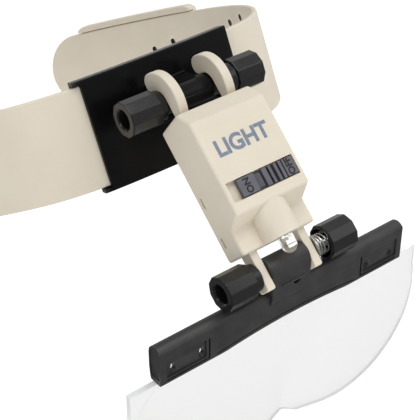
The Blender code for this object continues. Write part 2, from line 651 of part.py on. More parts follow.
def electrics():
    chamfer = 0.4 * MM
    profile = [(0, CELL_THICK), (CELL_RADIUS - chamfer, CELL_THICK), (CELL_RADIUS, CELL_THICK - chamfer),
               (CELL_RADIUS, 0), (0, 0)]
    for number, y in enumerate(CELL_FRONTS):
        place = Matrix.Translation((0, y + CELL_THICK, CELL_Z)) @ Matrix.Rotation(pi / 2, 4, "X")
        turned(f"coin_cell_{number + 1}", profile, place, STEEL, LAMP)
    for end, y, bottom in (("front", -3.1 * MM, -28 * MM), ("rear", 4.75 * MM, -34.0 * MM)):
        box(f"contact_{end}", (-CONTACT_HALF, y, bottom), (CONTACT_HALF, y + CONTACT_THICK, CONTACT_TOP),
            COPPER, LAMP)
    board = box("circuit_board", (-BOARD_HALF, -5.1 * MM, BOARD_BOTTOM), (BOARD_HALF, -3.9 * MM, BOARD_TOP),
                BOARD, LAMP)
    for number, x in enumerate((-8.6 * MM, 8.6 * MM)):
        cut(board, rod(f"board_hole_{number}", BOARD_HOLE, (x, -7 * MM, -30 * MM), (x, -2 * MM, -30 * MM),
                       parent=LAMP, sides=12))
    body = [(radius * MM, height * MM) for radius, height in
            ((0, 5.4), (0.9, 5.4), (1.0, 4.6), (0.8, 3.8), (0.8, 1.6), (1.0, 0.8), (0.9, 0), (0, 0))]
    turned("led_resistor", body, across(-2.7 * MM, -2.6 * MM, -35.0 * MM), CREAM, LAMP, 16)
    base = LED_TIP + LED_LENGTH
    dome = [(LED_RADIUS * sin(radians(a)), LED_TIP + LED_RADIUS - LED_RADIUS * cos(radians(a)))
            for a in range(80, -1, -16)]
    turned("led_bulb", [(0, base), (LED_RADIUS, base), (LED_RADIUS, LED_TIP + LED_RADIUS)] + dome,
           Matrix.Translation((0, LED_Y, 0)), CLEAR, LAMP)
    for side, label in ((-1, "cathode"), (1, "anode")):
        x = side * LEAD_SPREAD
        wire(f"led_lead_{label}", [(x, LED_Y, base + GAP), (x, LED_Y, -42.5 * MM), (x, -4.5 * MM, -40.5 * MM),
                                   (x, -4.5 * MM, -38.9 * MM)], 0.25 * MM, STEEL)
    wire("wire_rear", [(0, 4.4 * MM, -34.9 * MM), (2.5 * MM, 3.0 * MM, -36.4 * MM),
                       (6.5 * MM, 0.5 * MM, -37.2 * MM), (8.0 * MM, -3.3 * MM, -37.0 * MM)], 0.5 * MM, BLACK)


# ---------------------------------------------------------------- lens bar and lens

def bar_section():
    """The bar seen from its end: flat front, round top, back tapering to the lower edge."""
    top = arc((-0.4 * MM, BAR_TOP - 3.3 * MM), 3.3 * MM, 145, 20, 8)
    return ([(BAR_FRONT, BAR_BOTTOM + 0.5 * MM), (BAR_FRONT, BAR_TOP - 1.6 * MM)] + top
            + [(BAR_BACK, BAR_TOP - 3.4 * MM), (BAR_BACK, BAR_TOP - 9 * MM),
               (2.5 * MM, BAR_BOTTOM + 1.2 * MM), (2.1 * MM, BAR_BOTTOM), (BAR_FRONT + 0.5 * MM, BAR_BOTTOM)])


def below_arch(drop, half_width, bottom):
    """The space below the bar's lower edge, which arches up across the middle, lowered by drop."""
    radius = (ARCH_HALF ** 2 + ARCH_RISE ** 2) / (2 * ARCH_RISE)
    spread = 1.06 * asin(ARCH_HALF / radius) * 180 / pi
    arch = arc((0, BAR_BOTTOM - drop + ARCH_RISE - radius), radius, 90 + spread, 90 - spread, 16)
    half_width = max(half_width, arch[-1][0] + 0.1 * MM)
    side = arch[-1][1]
    return [(-half_width, side)] + arch + [(half_width, side), (half_width, bottom), (-half_width, bottom)]


def lens_bar():
    made = extrude("lens_bar", [bar_section()], -BAR_HALF, BAR_HALF, finish=BLACK, parent=LENS)
    bevel(made, 0.5 * MM)
    arch = extrude("lower_arch", [below_arch(0, 0, BAR_BOTTOM - 3 * MM)], BAR_FRONT - MM, BAR_BACK + MM,
                   ALONG_Y, parent=LENS)
    block = arc((0, 0), BARREL_RADIUS, -42, 180, 18)
    block += [(-BARREL_RADIUS, -8.5 * MM), (BAR_FRONT + 0.2 * MM, -11 * MM), (0, -14 * MM),
              (2.4 * MM, -9 * MM)]
    web = extrude("barrel_block", [block], -LOWER_BARREL_HALF, LOWER_BARREL_HALF, parent=LENS)
    join(made, web)
    half, thick = BAR_HALF - BAR_END_WALL, LENS_THICK / 2 + GAP
    channel = box("lens_channel", (-half, LENS_Y - thick, BAR_BOTTOM - 5 * MM),
                  (half, LENS_Y + thick, TONGUE_TOP + GAP), parent=LENS)
    bore = rod("lower_bore", BORE_RADIUS, (-20 * MM, 0, 0), (20 * MM, 0, 0), parent=LENS)
    cut(made, arch, channel, bore)
    for number, x in enumerate(KEYHOLES):
        rim = arc((x, KEYHOLE_Z - 0.9 * MM), 1.1 * MM, 180, 360, 8)
        rim += arc((x, KEYHOLE_Z + 1.4 * MM), 0.75 * MM, 0, 180, 6)
        cut(made, extrude(f"keyhole_{number}", [rim], BAR_FRONT - MM, BAR_BACK + MM, ALONG_Y, parent=LENS))


def lens_outline():
    """Two round lobes below a straight top, with a tongue that fits the bar's channel."""
    tongue = BAR_HALF - 2 * MM
    right = [(tongue, LENS_TOP), (LENS_HALF - 0.8 * MM, LENS_TOP)]
    right += arc((LOBE_X, LOBE_Z), LOBE_RADIUS, 12, -104, 26)
    right += [(6.5 * MM, NOSE_NOTCH - 4.1 * MM), (2.2 * MM, NOSE_NOTCH - 1.0 * MM)]
    left = [(-x, z) for x, z in reversed(right)]
    return right + [(0, NOSE_NOTCH)] + left + [(-tongue, TONGUE_TOP), (tongue, TONGUE_TOP)]


def lens_plate():
    """A slab with two domes on its front, cut to the outline of the lens."""
    front, back = LENS_Y - LENS_THICK / 2, LENS_Y + LENS_THICK / 2
    wide, deep = LENS_HALF + 8 * MM, LOBE_Z - 2 * LOBE_RADIUS
    made = box("lens_plate", (-wide, front, deep), (wide, back, TONGUE_TOP + 5 * MM), CLEAR, LENS)
    ball = (DOME_RADIUS ** 2 + DOME_HEIGHT ** 2) / (2 * DOME_HEIGHT)
    rings = 5
    radii = [DOME_RADIUS * i / rings for i in range(rings + 1)]
    cap = [(r, sqrt(ball * ball - r * r) - ball + DOME_HEIGHT) for r in radii]
    cap += [(DOME_RADIUS, -0.8 * MM), (0, -0.8 * MM)]
    space = below_arch(GAP, wide + 5 * MM, deep - 20 * MM)
    clear = extrude("dome_space", [space], -20 * MM, 20 * MM, ALONG_Y, parent=LENS)
    for side in (-1, 1):
        place = (Matrix.Translation((side * DOME_X, front - DOME_STEP, DOME_Z))
                 @ Matrix.Rotation(pi / 2, 4, "X"))
        dome = turned(f"dome_{side}", cap, place, None, LENS, 40)
        low, high = sorted((0, side * (wide + 5 * MM)))
        half = box(f"dome_half_{side}", (low - 0.05 * MM, -20 * MM, deep - 20 * MM),
                   (high + 0.05 * MM, 20 * MM, 0), parent=LENS)
        join(made, boolean(boolean(dome, half, "INTERSECT"), clear, "INTERSECT"))
    prism = extrude("lens_prism", [lens_outline()], front - 6 * MM, back + MM, ALONG_Y, parent=LENS)
    boolean(made, prism, "INTERSECT")


strap()
keeper()
brow_pad()
brow_plate()
upper_hinge()
lower_hinge()
lamp_front_shell()
lamp_back_cover()
switch()
electrics()
lens_bar()
lens_plate()
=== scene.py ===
"""The looks of the head visor magnifier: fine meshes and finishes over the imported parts.

Shapes are worked out in millimetres, in the frame they belong to: the head's own frame, the lamp box's
frame with its origin in front of the upper hinge, or the lens bar's frame with its origin on the lower hinge.
"""
import json
from math import asin, atan2, cos, pi, radians, sin, sqrt, tan

import bmesh
import bpy
from mathutils import Matrix, Vector


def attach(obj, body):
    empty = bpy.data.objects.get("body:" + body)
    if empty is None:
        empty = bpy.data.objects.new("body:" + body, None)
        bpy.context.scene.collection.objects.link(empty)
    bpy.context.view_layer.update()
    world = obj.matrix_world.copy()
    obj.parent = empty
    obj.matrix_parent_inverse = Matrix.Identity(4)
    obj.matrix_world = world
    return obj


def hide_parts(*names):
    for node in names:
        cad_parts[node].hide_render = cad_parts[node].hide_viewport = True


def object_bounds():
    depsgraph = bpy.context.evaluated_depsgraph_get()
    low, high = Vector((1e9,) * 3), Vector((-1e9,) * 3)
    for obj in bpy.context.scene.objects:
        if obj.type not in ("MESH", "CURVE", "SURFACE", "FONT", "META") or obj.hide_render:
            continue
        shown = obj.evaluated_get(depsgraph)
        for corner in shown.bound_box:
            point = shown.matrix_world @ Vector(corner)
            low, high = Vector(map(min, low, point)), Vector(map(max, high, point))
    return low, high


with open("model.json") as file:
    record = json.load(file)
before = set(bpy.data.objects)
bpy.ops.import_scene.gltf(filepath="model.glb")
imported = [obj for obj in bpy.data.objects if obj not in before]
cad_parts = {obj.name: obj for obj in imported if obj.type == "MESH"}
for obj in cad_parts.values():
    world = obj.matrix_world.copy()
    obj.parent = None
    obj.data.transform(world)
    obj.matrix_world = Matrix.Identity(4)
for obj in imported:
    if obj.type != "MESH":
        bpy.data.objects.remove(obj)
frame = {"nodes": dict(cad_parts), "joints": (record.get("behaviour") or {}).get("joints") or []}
cad_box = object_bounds()

MM = 0.001
JOINTS = {joint["name"]: joint for joint in frame["joints"]}

# ------------ frames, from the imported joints


def turn_about_x(angle):
    return Matrix.Rotation(angle, 4, "X")


UPPER = Vector(JOINTS["lamp_tilt"]["pos_m"]) / MM
LOWER = Vector(JOINTS["lens_tilt"]["pos_m"]) / MM
COVER_WAY = Vector(JOINTS["cover_pull"]["axis"])
LENS_WAY = Vector(JOINTS["lens_pull"]["axis"])
LAMP_LEAN = atan2(COVER_WAY.z, COVER_WAY.y)
LENS_LEAN = atan2(LENS_WAY.y, -LENS_WAY.z)

HEAD = Matrix.Identity(4)
UPPER_IN_LAMP = Vector((0, 5.75, 1.16))
LAMP = Matrix.Translation(UPPER) @ turn_about_x(LAMP_LEAN) @ Matrix.Translation(-UPPER_IN_LAMP)
LENS = Matrix.Translation(LOWER) @ turn_about_x(LENS_LEAN)
HINGE = LAMP.inverted() @ LOWER     # the lower hinge in the lamp box's frame

# ------------ sizes, in millimetres

# Headband: the strap's outer face in plan, from the brow backwards, as arcs (radius, length)
BAND_ARCS = [(227, 26.8), (38.3, 25.6), (79.5, 69.3), (205, 84), (73.5, 60)]
BAND_FRONT = -7.3
STRAP_TOP = 17.0
STRAP_BOTTOM = -15.9
STRAP_THICK = 1.9
STRAP_REACH = 217
STRAP_EDGE = 0.7
SIZE_HOLES = [(94.5, 12.5), (105.5, 10.5), (146, 6), (158, 4)]
SIZE_HOLE_RADIUS = 1.35
PEG_RADIUS = 1.05
PEG_HEIGHT = 1.6
GAP = 0.3

KEEPER_START = 131
KEEPER_END = 197
KEEPER_WALL = 1.6
KEEPER_LIP = 2.4

PAD_HALF_ARC = 45
PAD_HALF_HEIGHT = 13
PAD_FLAT_HALF = 6

PLATE_HALF_ARC = 28.6
PLATE_TAB = 2.2
PLATE_TOP = 18.7
PLATE_BOTTOM = -17.6
PLATE_THICK = 1.1
PLATE_LIP = 2.1
BARREL_RADIUS = 4.2
UPPER_BARREL_HALF = 7.15
FOOT_HALF = 6.9
FOOT_THICK = 2.6

HOOK_IN = 7.45
HOOK_OUT = 10.75
HOOK_RADIUS = 10.5
EYE_RADIUS = 4.4
HOOK_TIP = 91
HOOK_ROOT = 226
HOOK_FOOT = -9.2

BOLT_RADIUS = 1.5
BORE_RADIUS = 1.85
KNOB_RADIUS = 5.9
KNOB_FACETS = 10
KNOB_HOLLOW = 3.1
COLLAR_RADIUS = 5.0
NECK_RADIUS = 3.6
BORE_REACH = 20
THREAD_PITCH = 0.5
THREAD_DEPTH = 0.18
THREAD_LENGTH = 7.0
UPPER_BOLT = (-17.8, 19.8)
UPPER_LEFT_BODY = (13.2, 24.6)
UPPER_RIGHT_BODY = (16.4, 26.6)
LOWER_BOLT = (-18.2, 20.0)
LOWER_LEFT_BODY = (14.2, 24.6)
LOWER_LEFT_COLLAR = 4.5
LOWER_LEFT_NECK = 4.2
LOWER_RIGHT_BODY = (15.6, 25.9)
LOWER_RIGHT_COLLAR = 5.2
SPRING_CUP = 3.4
SPRING_END = 18.3
SPRING_RADIUS = 3.2
SPRING_WIRE = 0.35
SPRING_TURNS = 4.5
WASHER_RADIUS = 4.0
WASHER_THICK = 0.5

BOX_HALF = 14.15
BOX_FRONT = -10.3
BOX_BACK = 7.6
BOX_ROOF = [(BOX_FRONT, -10.6), (-5.3, -5.5), (BOX_BACK, -6.8)]
BOX_ROUNDING = 0.9
BOX_STEP = -40.7
PLATFORM_FRONT = -2.75
PLATFORM_TOP = -44.1
BOX_BOTTOM = -51.9
FRONT_WALL = 2.6
WALL = 1.5
LEDGE = 0.75
COVER_THICK = 1.5
COVER_TOP = -11.6
SLOT_HALF = 12.7
SLOT_TOP = -30.85
SLOT_BOTTOM = -37.25
SLOT_DEPTH = 1.9
SLIDER_LENGTH = 21.2
STEM_TOP = -33.45
STEM_BOTTOM = -34.65
STEM_BACK = -5.9
STEM_HALF = 0.9
WINDOW_TOP = -33.0
WINDOW_BOTTOM = -35.1
WINDOW_HALF = 3.3
NOSE_Y = -4.0
NOSE_RADIUS = 6.1
NOSE_MOUTH = 6.3
SLIT_HEIGHTS = [-32.0, -45.6]
SLIT_HALF = 1.7
SWITCH_PRINT = 3.1
LABEL_PRINT = 7.1
LABEL_X = -0.3
LABEL_Z = -20.9
LED_Y = -5.6
LED_RADIUS = 2.5
LED_TIP = -57.6
LED_LENGTH = 8.6
ARM_IN = 7.9
ARM_OUT = 10.9
ARM_FRONT = -0.5
ARM_BACK = 5.0
ARM_END = -64.8

LOWER_BARREL_HALF = 7.6
BAR_HALF = 49.15
BAR_FRONT = -3.0
BAR_BACK = 2.9
BAR_TOP = -6.9
BAR_BOTTOM = -21.1
ARCH_HALF = 29
ARCH_RISE = 2.0
ARCH_GROOVE = (1.15, 1.55)
KEYHOLES = [-44.3, -33.6, 33.6, 44.3]
KEYHOLE_Z = -16.0
KEYHOLE_WIDE = 1.1
KEYHOLE_NARROW = 0.75
PANEL_IN = 30.6
PANEL_OUT = 46.8
PANEL_TOP = -11.6
PANEL_DEPTH = 0.55
GROOVE_DEPTH = 0.8
LIP_RIGHT = -3.9
LIP_LEFT = 5.2
LIP_TOP = -4.3
LIP_BOTTOM = -4.9
LENS_PEG_RADIUS = 0.95
LENS_THICK = 2.0
LENS_Y = 0.3
LENS_HALF = 59.5
LENS_TOP = -21.5
BAR_END_WALL = 1.5
TONGUE_TOP = -12.6
LOBE_X = 25.5
LOBE_Z = -36.5
LOBE_RADIUS = 34
NOSE_NOTCH = -62.8
DOME_X = 26
DOME_Z = -50
DOME_RADIUS = 36
DOME_HEIGHT = 2.6

ROUND = 64


# ------------ mesh tools

def loose(data):
    """An object for a mesh, a curve, a light or a camera."""
    made = bpy.data.objects.new(data.name, data)
    bpy.context.scene.collection.objects.link(made)
    return made


def mesh_of(shape, name):
    mesh = bpy.data.meshes.new(name)
    shape.to_mesh(mesh)
    shape.free()
    return mesh


def evaluated(made):
    """A new mesh of an object's curve or of its mesh with the modifiers worked out."""
    bpy.context.view_layer.update()
    return bpy.data.meshes.new_from_object(made.evaluated_get(bpy.context.evaluated_depsgraph_get()))


def apply_modifiers(made):
    mesh = evaluated(made)
    made.modifiers.clear()
    made.data = mesh
    return made


def drawn(curve):
    """The mesh of a curve, taken through an object that is removed again."""
    carrier = loose(curve)
    mesh = evaluated(carrier)
    bpy.data.objects.remove(carrier, do_unlink=True)
    return mesh


def box(low, high, rounding=0.0, segments=3):
    low, high = Vector(low), Vector(high)
    shape = bmesh.new()
    bmesh.ops.create_cube(shape, size=1, matrix=Matrix.Translation((low + high) / 2)
                          @ Matrix.Diagonal((*(high - low), 1)))
    made = loose(mesh_of(shape, "box"))
    return round_edges(made, rounding, segments) if rounding else made


def rod(radius, start, end, sides=ROUND, turn=0.0, end_radius=None):
    """A cylinder between two points, a cone with two radii, or a prism with few sides."""
    start, end = Vector(start), Vector(end)
    shape = bmesh.new()
    place = (Matrix.Translation((start + end) / 2)
             @ (end - start).to_track_quat("Z", "Y").to_matrix().to_4x4() @ Matrix.Rotation(turn, 4, "Z"))
    bmesh.ops.create_cone(shape, cap_ends=True, segments=sides, radius1=radius,
                          radius2=radius if end_radius is None else end_radius,
                          depth=(end - start).length, matrix=place)
    return loose(mesh_of(shape, "rod"))


# The axes along which an outline (u, v) is pushed, as matrices from (u, v, depth) to (x, y, z)
ALONG_X = Matrix(((0, 0, 1, 0), (1, 0, 0, 0), (0, 1, 0, 0), (0, 0, 0, 1)))      # u is y, v is z
ALONG_Y = Matrix(((1, 0, 0, 0), (0, 0, 1, 0), (0, 1, 0, 0), (0, 0, 0, 1)))      # u is x, v is z


def prism(outlines, start, end, axes=ALONG_X):
    """A closed outline, with any holes, pushed from start to end along the third axis."""
    curve = bpy.data.curves.new("prism", "CURVE")
    curve.dimensions = "2D"
    curve.fill_mode = "BOTH"
    curve.extrude = abs(end - start) / 2
    for outline in outlines:
        spline = curve.splines.new("POLY")
        spline.points.add(len(outline) - 1)
        for point, (u, v) in zip(spline.points, outline):
            point.co = (u, v, 0, 1)
        spline.use_cyclic_u = True
    mesh = drawn(curve)
    mesh.transform(axes @ Matrix.Translation((0, 0, (start + end) / 2)))
    return loose(cleaned(mesh))


def cleaned(mesh):
    """A mesh with doubled points, turned-over faces and needless edges put right."""
    shape = bmesh.new()
    shape.from_mesh(mesh)
    bmesh.ops.remove_doubles(shape, verts=shape.verts, dist=1e-4)
    bmesh.ops.recalc_face_normals(shape, faces=shape.faces)
    bmesh.ops.dissolve_limit(shape, angle_limit=radians(0.05), verts=shape.verts, edges=shape.edges)
    shape.to_mesh(mesh)
    shape.free()
    return mesh


def arc(centre, radius, start, end, steps):
    """Points of an arc between two angles in degrees."""
    angles = [radians(start + (end - start) * i / steps) for i in range(steps + 1)]
    return [(centre[0] + radius * cos(a), centre[1] + radius * sin(a)) for a in angles]


def softened(outline, radius, steps=4):
    """An outline with its corners rounded, by one radius or by one for each corner."""
    result = []
    for i, corner in enumerate(outline):
        here = Vector(corner)
        before = Vector(outline[i - 1]) - here
        after = Vector(outline[(i + 1) % len(outline)]) - here
        wanted = radius[i] if isinstance(radius, (list, tuple)) else radius
        reach = min(wanted / tan(before.angle(after) / 2), before.length * 0.49, after.length * 0.49)
        if reach < 1e-3:
            result.append(tuple(here))
            continue
        first, last = here + before.normalized() * reach, here + after.normalized() * reach
        for k in range(steps + 1):
            t = k / steps
            result.append(tuple((1 - t) ** 2 * first + 2 * t * (1 - t) * here + t * t * last))
    return result


def turned(profile, place, sides=96):
    """A profile of (radius, height), from the top down its outer side, turned about an axis."""
    mesh = bpy.data.meshes.new("turned")
    mesh.from_pydata([(r, 0, h) for r, h in profile], [(i, i + 1) for i in range(len(profile) - 1)], [])
    made = loose(mesh)
    screw = made.modifiers.new("turning", "SCREW")
    screw.steps = screw.render_steps = sides
    screw.use_merge_vertices = True
    screw.merge_threshold = 1e-4
    apply_modifiers(made)
    made.data.transform(place)
    cleaned(made.data)
    return made


def across(x, y=0.0, z=0.0, outwards=1):
    """A turned piece's axis laid along X, with its top at the right or, for -1, at the left."""
    return Matrix.Translation((x, y, z)) @ Matrix.Rotation(outwards * pi / 2, 4, "Y")


def combine(made, tools, operation):
    for tool in tools:
        step = made.modifiers.new("step", "BOOLEAN")
        step.operation = operation
        step.object = tool
    apply_modifiers(made)
    for tool in tools:
        bpy.data.objects.remove(tool, do_unlink=True)
    return made


def cut(made, *tools):
    return combine(made, tools, "DIFFERENCE")


def join(made, *tools):
    return combine(made, tools, "UNION")


def common(made, *tools):
    return combine(made, tools, "INTERSECT")


def bore(y, z):
    """The cutter for a bolt's hole, which runs along X."""
    return rod(BORE_RADIUS, (-BORE_REACH, y, z), (BORE_REACH, y, z))


def round_edges(made, width, segments=3, above=35):
    rounding = made.modifiers.new("rounding", "BEVEL")
    rounding.width = width
    rounding.segments = segments
    rounding.limit_method = "ANGLE"
    rounding.angle_limit = radians(above)
    rounding.use_clamp_overlap = True
    return apply_modifiers(made)


def skinned(rings):
    """A closed mesh over equal rings of points, with a cap on the first and the last."""
    shape = bmesh.new()
    loops = [[shape.verts.new(point) for point in ring] for ring in rings]
    for ring, after in zip(loops, loops[1:]):
        for i in range(len(ring)):
            j = (i + 1) % len(ring)
            shape.faces.new((ring[i], ring[j], after[j], after[i]))
    shape.faces.new(loops[0])
    shape.faces.new(loops[-1])
    bmesh.ops.recalc_face_normals(shape, faces=shape.faces)
    return loose(mesh_of(shape, "skinned"))


def tube(route, radius, sides):
    """A round wire through a list of points."""
    curve = bpy.data.curves.new("tube", "CURVE")
    curve.dimensions = "3D"
    curve.bevel_depth = radius
    curve.bevel_resolution = sides // 4
    curve.use_fill_caps = True
    spline = curve.splines.new("POLY")
    spline.points.add(len(route) - 1)
    for point, place in zip(spline.points, route):
        point.co = (*place, 1)
    return loose(cleaned(drawn(curve)))


def shown(made, name, body, finish, *nodes, place=HEAD, slot=None, crease=40):
    """The finished piece: its mesh in metres in the row frame, riding on a body, for these CAD nodes."""
    made.name = name
    made.data.name = name
    made.data.transform(Matrix.Scale(MM, 4) @ place)
    made.data.shade_smooth()
    made.data.set_sharp_from_angle(angle=radians(crease))
    weighted = made.modifiers.new("shading", "WEIGHTED_NORMAL")
    weighted.keep_sharp = True
    apply_modifiers(made)
    made.data.materials.clear()
    made.data.materials.append(finish)
    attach(made, body)
    if nodes:
        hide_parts(*nodes)
    return made


# ------------ finishes

def fill(node, values):
    """Sets inputs of a node by their names."""
    for socket, value in values.items():
        node.inputs[socket].default_value = value


class Finish:
    """A Principled material whose colour, roughness and relief come from noise in the object's own space."""

    def __init__(self, name, roughness, metallic=0.0, specular=0.5, transmission=0.0, ior=1.5, coat=0.0):
        self.material = bpy.data.materials.new(name)
        self.material.use_nodes = True
        tree = self.material.node_tree
        self.nodes, self.link = tree.nodes, tree.links.new
        self.shader = self.nodes["Principled BSDF"]
        fill(self.shader, {"Roughness": roughness, "Metallic": metallic, "Specular IOR Level": specular,
                           "Transmission Weight": transmission, "IOR": ior, "Coat Weight": coat})
        self.space = self.nodes.new("ShaderNodeTexCoord").outputs["Object"]

    def node(self, kind, values):
        made = self.nodes.new("ShaderNode" + kind)
        fill(made, values)
        return made

    def stretched(self, scale):
        mapping = self.node("Mapping", {"Scale": scale})
        self.link(self.space, mapping.inputs["Vector"])
        return mapping.outputs["Vector"]

    def noise(self, size, detail=3.0, space=None):
        """Noise with features of about this size, in millimetres."""
        made = self.node("TexNoise", {"Scale": 1 / (size * MM), "Detail": detail})
        self.link(space or self.space, made.inputs["Vector"])
        return made.outputs["Fac"]

    def cells(self, size):
        made = self.node("TexVoronoi", {"Scale": 1 / (size * MM)})
        self.link(self.space, made.inputs["Vector"])
        return made.outputs["Distance"]

    def ranged(self, value, low, high, start=0.3, end=0.7):
        made = self.node("MapRange", {"From Min": start, "From Max": end, "To Min": low, "To Max": high})
        self.link(value, made.inputs["Value"])
        return made.outputs["Result"]

    def mixed(self, factor, first, second):
        made = self.nodes.new("ShaderNodeMix")
        made.data_type = "RGBA"
        self.link(factor, made.inputs["Factor"])
        for socket, colour in ((made.inputs[6], first), (made.inputs[7], second)):
            if isinstance(colour, tuple):
                socket.default_value = (*colour, 1)
            else:
                self.link(colour, socket)
        return made.outputs[2]

    def clouded(self, size, first, second):
        """A colour that drifts between two, in patches of about this size in millimetres."""
        return self.mixed(self.ranged(self.noise(size), 0, 1), first, second)

    def worn(self, colour, rubbed, start, end):
        """A colour that gives way to another on sharp edges."""
        edges = self.nodes.new("ShaderNodeNewGeometry").outputs["Pointiness"]
        return self.mixed(self.ranged(edges, 0, 1, start, end), colour, rubbed)

    def colour(self, source):
        self.link(source, self.shader.inputs["Base Color"])

    def roughness(self, source):
        self.link(source, self.shader.inputs["Roughness"])

    def relief(self, height, depth, strength=1.0):
        """Bump from a height of 0 to 1 that stands for a depth in millimetres; later ones add to it."""
        made = self.node("Bump", {"Distance": depth * MM, "Strength": strength})
        self.link(height, made.inputs["Height"])
        before = self.shader.inputs["Normal"].links
        if before:
            self.link(before[0].from_socket, made.inputs["Normal"])
        self.link(made.outputs["Normal"], self.shader.inputs["Normal"])


def cream_plastic():
    made = Finish("cream_plastic", 0.42)
    cloudy = made.clouded(16, (0.735, 0.665, 0.545), (0.77, 0.70, 0.58))
    specks = made.ranged(made.noise(0.5, 2), 0, 1, 0.62, 0.75)
    specked = made.mixed(specks, cloudy, (0.72, 0.645, 0.52))
    made.colour(made.worn(specked, (0.82, 0.77, 0.67), 0.52, 0.62))
    made.roughness(made.ranged(made.noise(5), 0.36, 0.5))
    made.relief(made.noise(0.35, 4), 0.012, 0.5)
    made.relief(made.noise(9, 1), 0.05, 0.3)
    fill(made.shader, {"Subsurface Weight": 0.12, "Subsurface Radius": (1.0, 0.7, 0.4),
                       "Subsurface Scale": 1.2 * MM})
    return made.material


def black_plastic(name, dark, light, worn, smoothest, roughest, grain):
    made = Finish(name, roughest, specular=0.5)
    made.colour(made.worn(made.clouded(6, dark, light), worn, 0.54, 0.66))
    made.roughness(made.ranged(made.noise(2.5), smoothest, roughest))
    made.relief(made.noise(0.45, 4), grain, 0.8)
    return made.material


def gloss_black_plastic():
    made = Finish("gloss_black_plastic", 0.2, specular=0.15)
    cloudy = made.clouded(20, (0.003, 0.003, 0.0035), (0.006, 0.006, 0.007))
    made.colour(made.worn(cloudy, (0.05, 0.05, 0.052), 0.54, 0.64))
    made.roughness(made.ranged(made.noise(12), 0.17, 0.27))
    made.relief(made.noise(7, 2), 0.05, 0.35)
    made.relief(made.noise(0.4, 3), 0.004, 0.3)
    return made.material


def dark_grey_plastic():
    made = Finish("dark_grey_plastic", 0.5)
    cloudy = made.clouded(3, (0.07, 0.066, 0.082), (0.10, 0.094, 0.115))
    made.colour(made.worn(cloudy, (0.17, 0.165, 0.19), 0.53, 0.62))
    made.roughness(made.ranged(made.noise(1.2), 0.42, 0.6))
    made.relief(made.noise(0.2, 3), 0.012, 0.6)
    return made.material


def clear_acrylic(name="clear_acrylic", tint=(0.80, 0.805, 0.80)):
    made = Finish(name, 0.03, transmission=1.0, ior=1.49)
    made.colour(made.mixed(made.noise(30), tint, tuple(min(1.0, part + 0.02) for part in tint)))
    made.roughness(made.ranged(made.noise(14), 0.01, 0.05))
    made.relief(made.noise(25, 1), 0.03, 0.15)
    return made.material


def frosted_glow():
    """The moulded edge of clear acrylic, matt and whitish, with a painted glow: its emission stands in for
    the light that runs through the sheet.
    """
    made = Finish("frosted_edge_painted_glow", 0.4, transmission=0.5, ior=1.49)
    made.colour(made.clouded(1.5, (0.91, 0.92, 0.92), (0.97, 0.98, 0.98)))
    made.relief(made.noise(0.3, 3), 0.02, 0.6)
    # painted glow: emission that lights these faces though they are no lamp
    fill(made.shader, {"Emission Color": (0.95, 0.97, 0.97, 1), "Emission Strength": 0.28})
    return made.material


def metal(name, low, high, roughness, brushed=(1, 1, 1), grain=0.4):
    made = Finish(name, roughness, metallic=1.0)
    made.colour(made.clouded(2, low, high))
    streaks = made.noise(grain, 3, made.stretched(brushed))
    made.roughness(made.ranged(streaks, roughness * 0.75, roughness * 1.35))
    made.relief(streaks, 0.004, 0.5)
    return made.material


def printed_ink(name, low, high):
    made = Finish(name, 0.55)
    made.colour(made.clouded(0.8, low, high))
    made.relief(made.noise(0.25, 2), 0.006, 0.5)
    return made.material


def foam():
    made = Finish("black_foam", 0.95, specular=0.2)
    pores = made.ranged(made.cells(0.9), 0, 1, 0.0, 0.6)
    made.colour(made.mixed(pores, (0.008, 0.008, 0.008), (0.035, 0.034, 0.034)))
    made.relief(pores, 0.25, 0.8)
    made.relief(made.noise(6, 2), 0.4, 0.3)
    fill(made.shader, {"Sheen Weight": 0.15})
    return made.material


def solder_mask():
    made = Finish("solder_mask", 0.35, coat=0.3)
    tracks = made.noise(2.2, 0, made.stretched((1, 1, 0.25)))
    made.colour(made.mixed(made.ranged(tracks, 0, 1, 0.5, 0.52), (0.012, 0.11, 0.04), (0.03, 0.22, 0.08)))
    made.roughness(made.ranged(made.noise(1.5), 0.28, 0.45))
    made.relief(tracks, 0.03, 0.5)
    return made.material


CREAM = cream_plastic()
BLACK = black_plastic("black_plastic", (0.027, 0.026, 0.026), (0.042, 0.040, 0.040),
                      (0.08, 0.077, 0.076), 0.38, 0.52, 0.06)
KNOB = black_plastic("knob_plastic", (0.008, 0.0077, 0.0077), (0.012, 0.0115, 0.0115),
                     (0.014, 0.0135, 0.0135), 0.14, 0.20, 0.001)
GLOSS = gloss_black_plastic()
GREY = dark_grey_plastic()
CLEAR = clear_acrylic()
FROSTED_GLOW = frosted_glow()
LED_EPOXY = clear_acrylic("led_epoxy", (0.93, 0.935, 0.94))
STEEL = metal("plated_steel", (0.60, 0.60, 0.59), (0.72, 0.72, 0.71), 0.22)
BRUSHED = metal("brushed_cell_steel", (0.62, 0.61, 0.58), (0.74, 0.73, 0.70), 0.3, (6, 1, 1), 0.8)
BRASS = metal("plated_brass", (0.62, 0.47, 0.28), (0.75, 0.60, 0.40), 0.3, (1, 1, 6), 0.6)
BRIGHT = metal("bright_lead", (0.82, 0.81, 0.78), (0.90, 0.89, 0.87), 0.12)
FOAM = foam()
BOARD = solder_mask()
BLUE_INK = printed_ink("blue_grey_ink", (0.17, 0.21, 0.28), (0.23, 0.27, 0.34))
# painted shade for the walls of the strap's holes
HOLE_SHADE = printed_ink("painted_hole_shade", (0.05, 0.045, 0.035), (0.10, 0.085, 0.065))
BLACK_INK = printed_ink("black_ink", (0.008, 0.008, 0.010), (0.016, 0.015, 0.020))
RESISTOR = printed_ink("resistor_lacquer", (0.42, 0.30, 0.17), (0.55, 0.42, 0.26))
PHOSPHOR = printed_ink("lamp_phosphor", (0.72, 0.56, 0.10), (0.85, 0.70, 0.20))


# ------------ headband

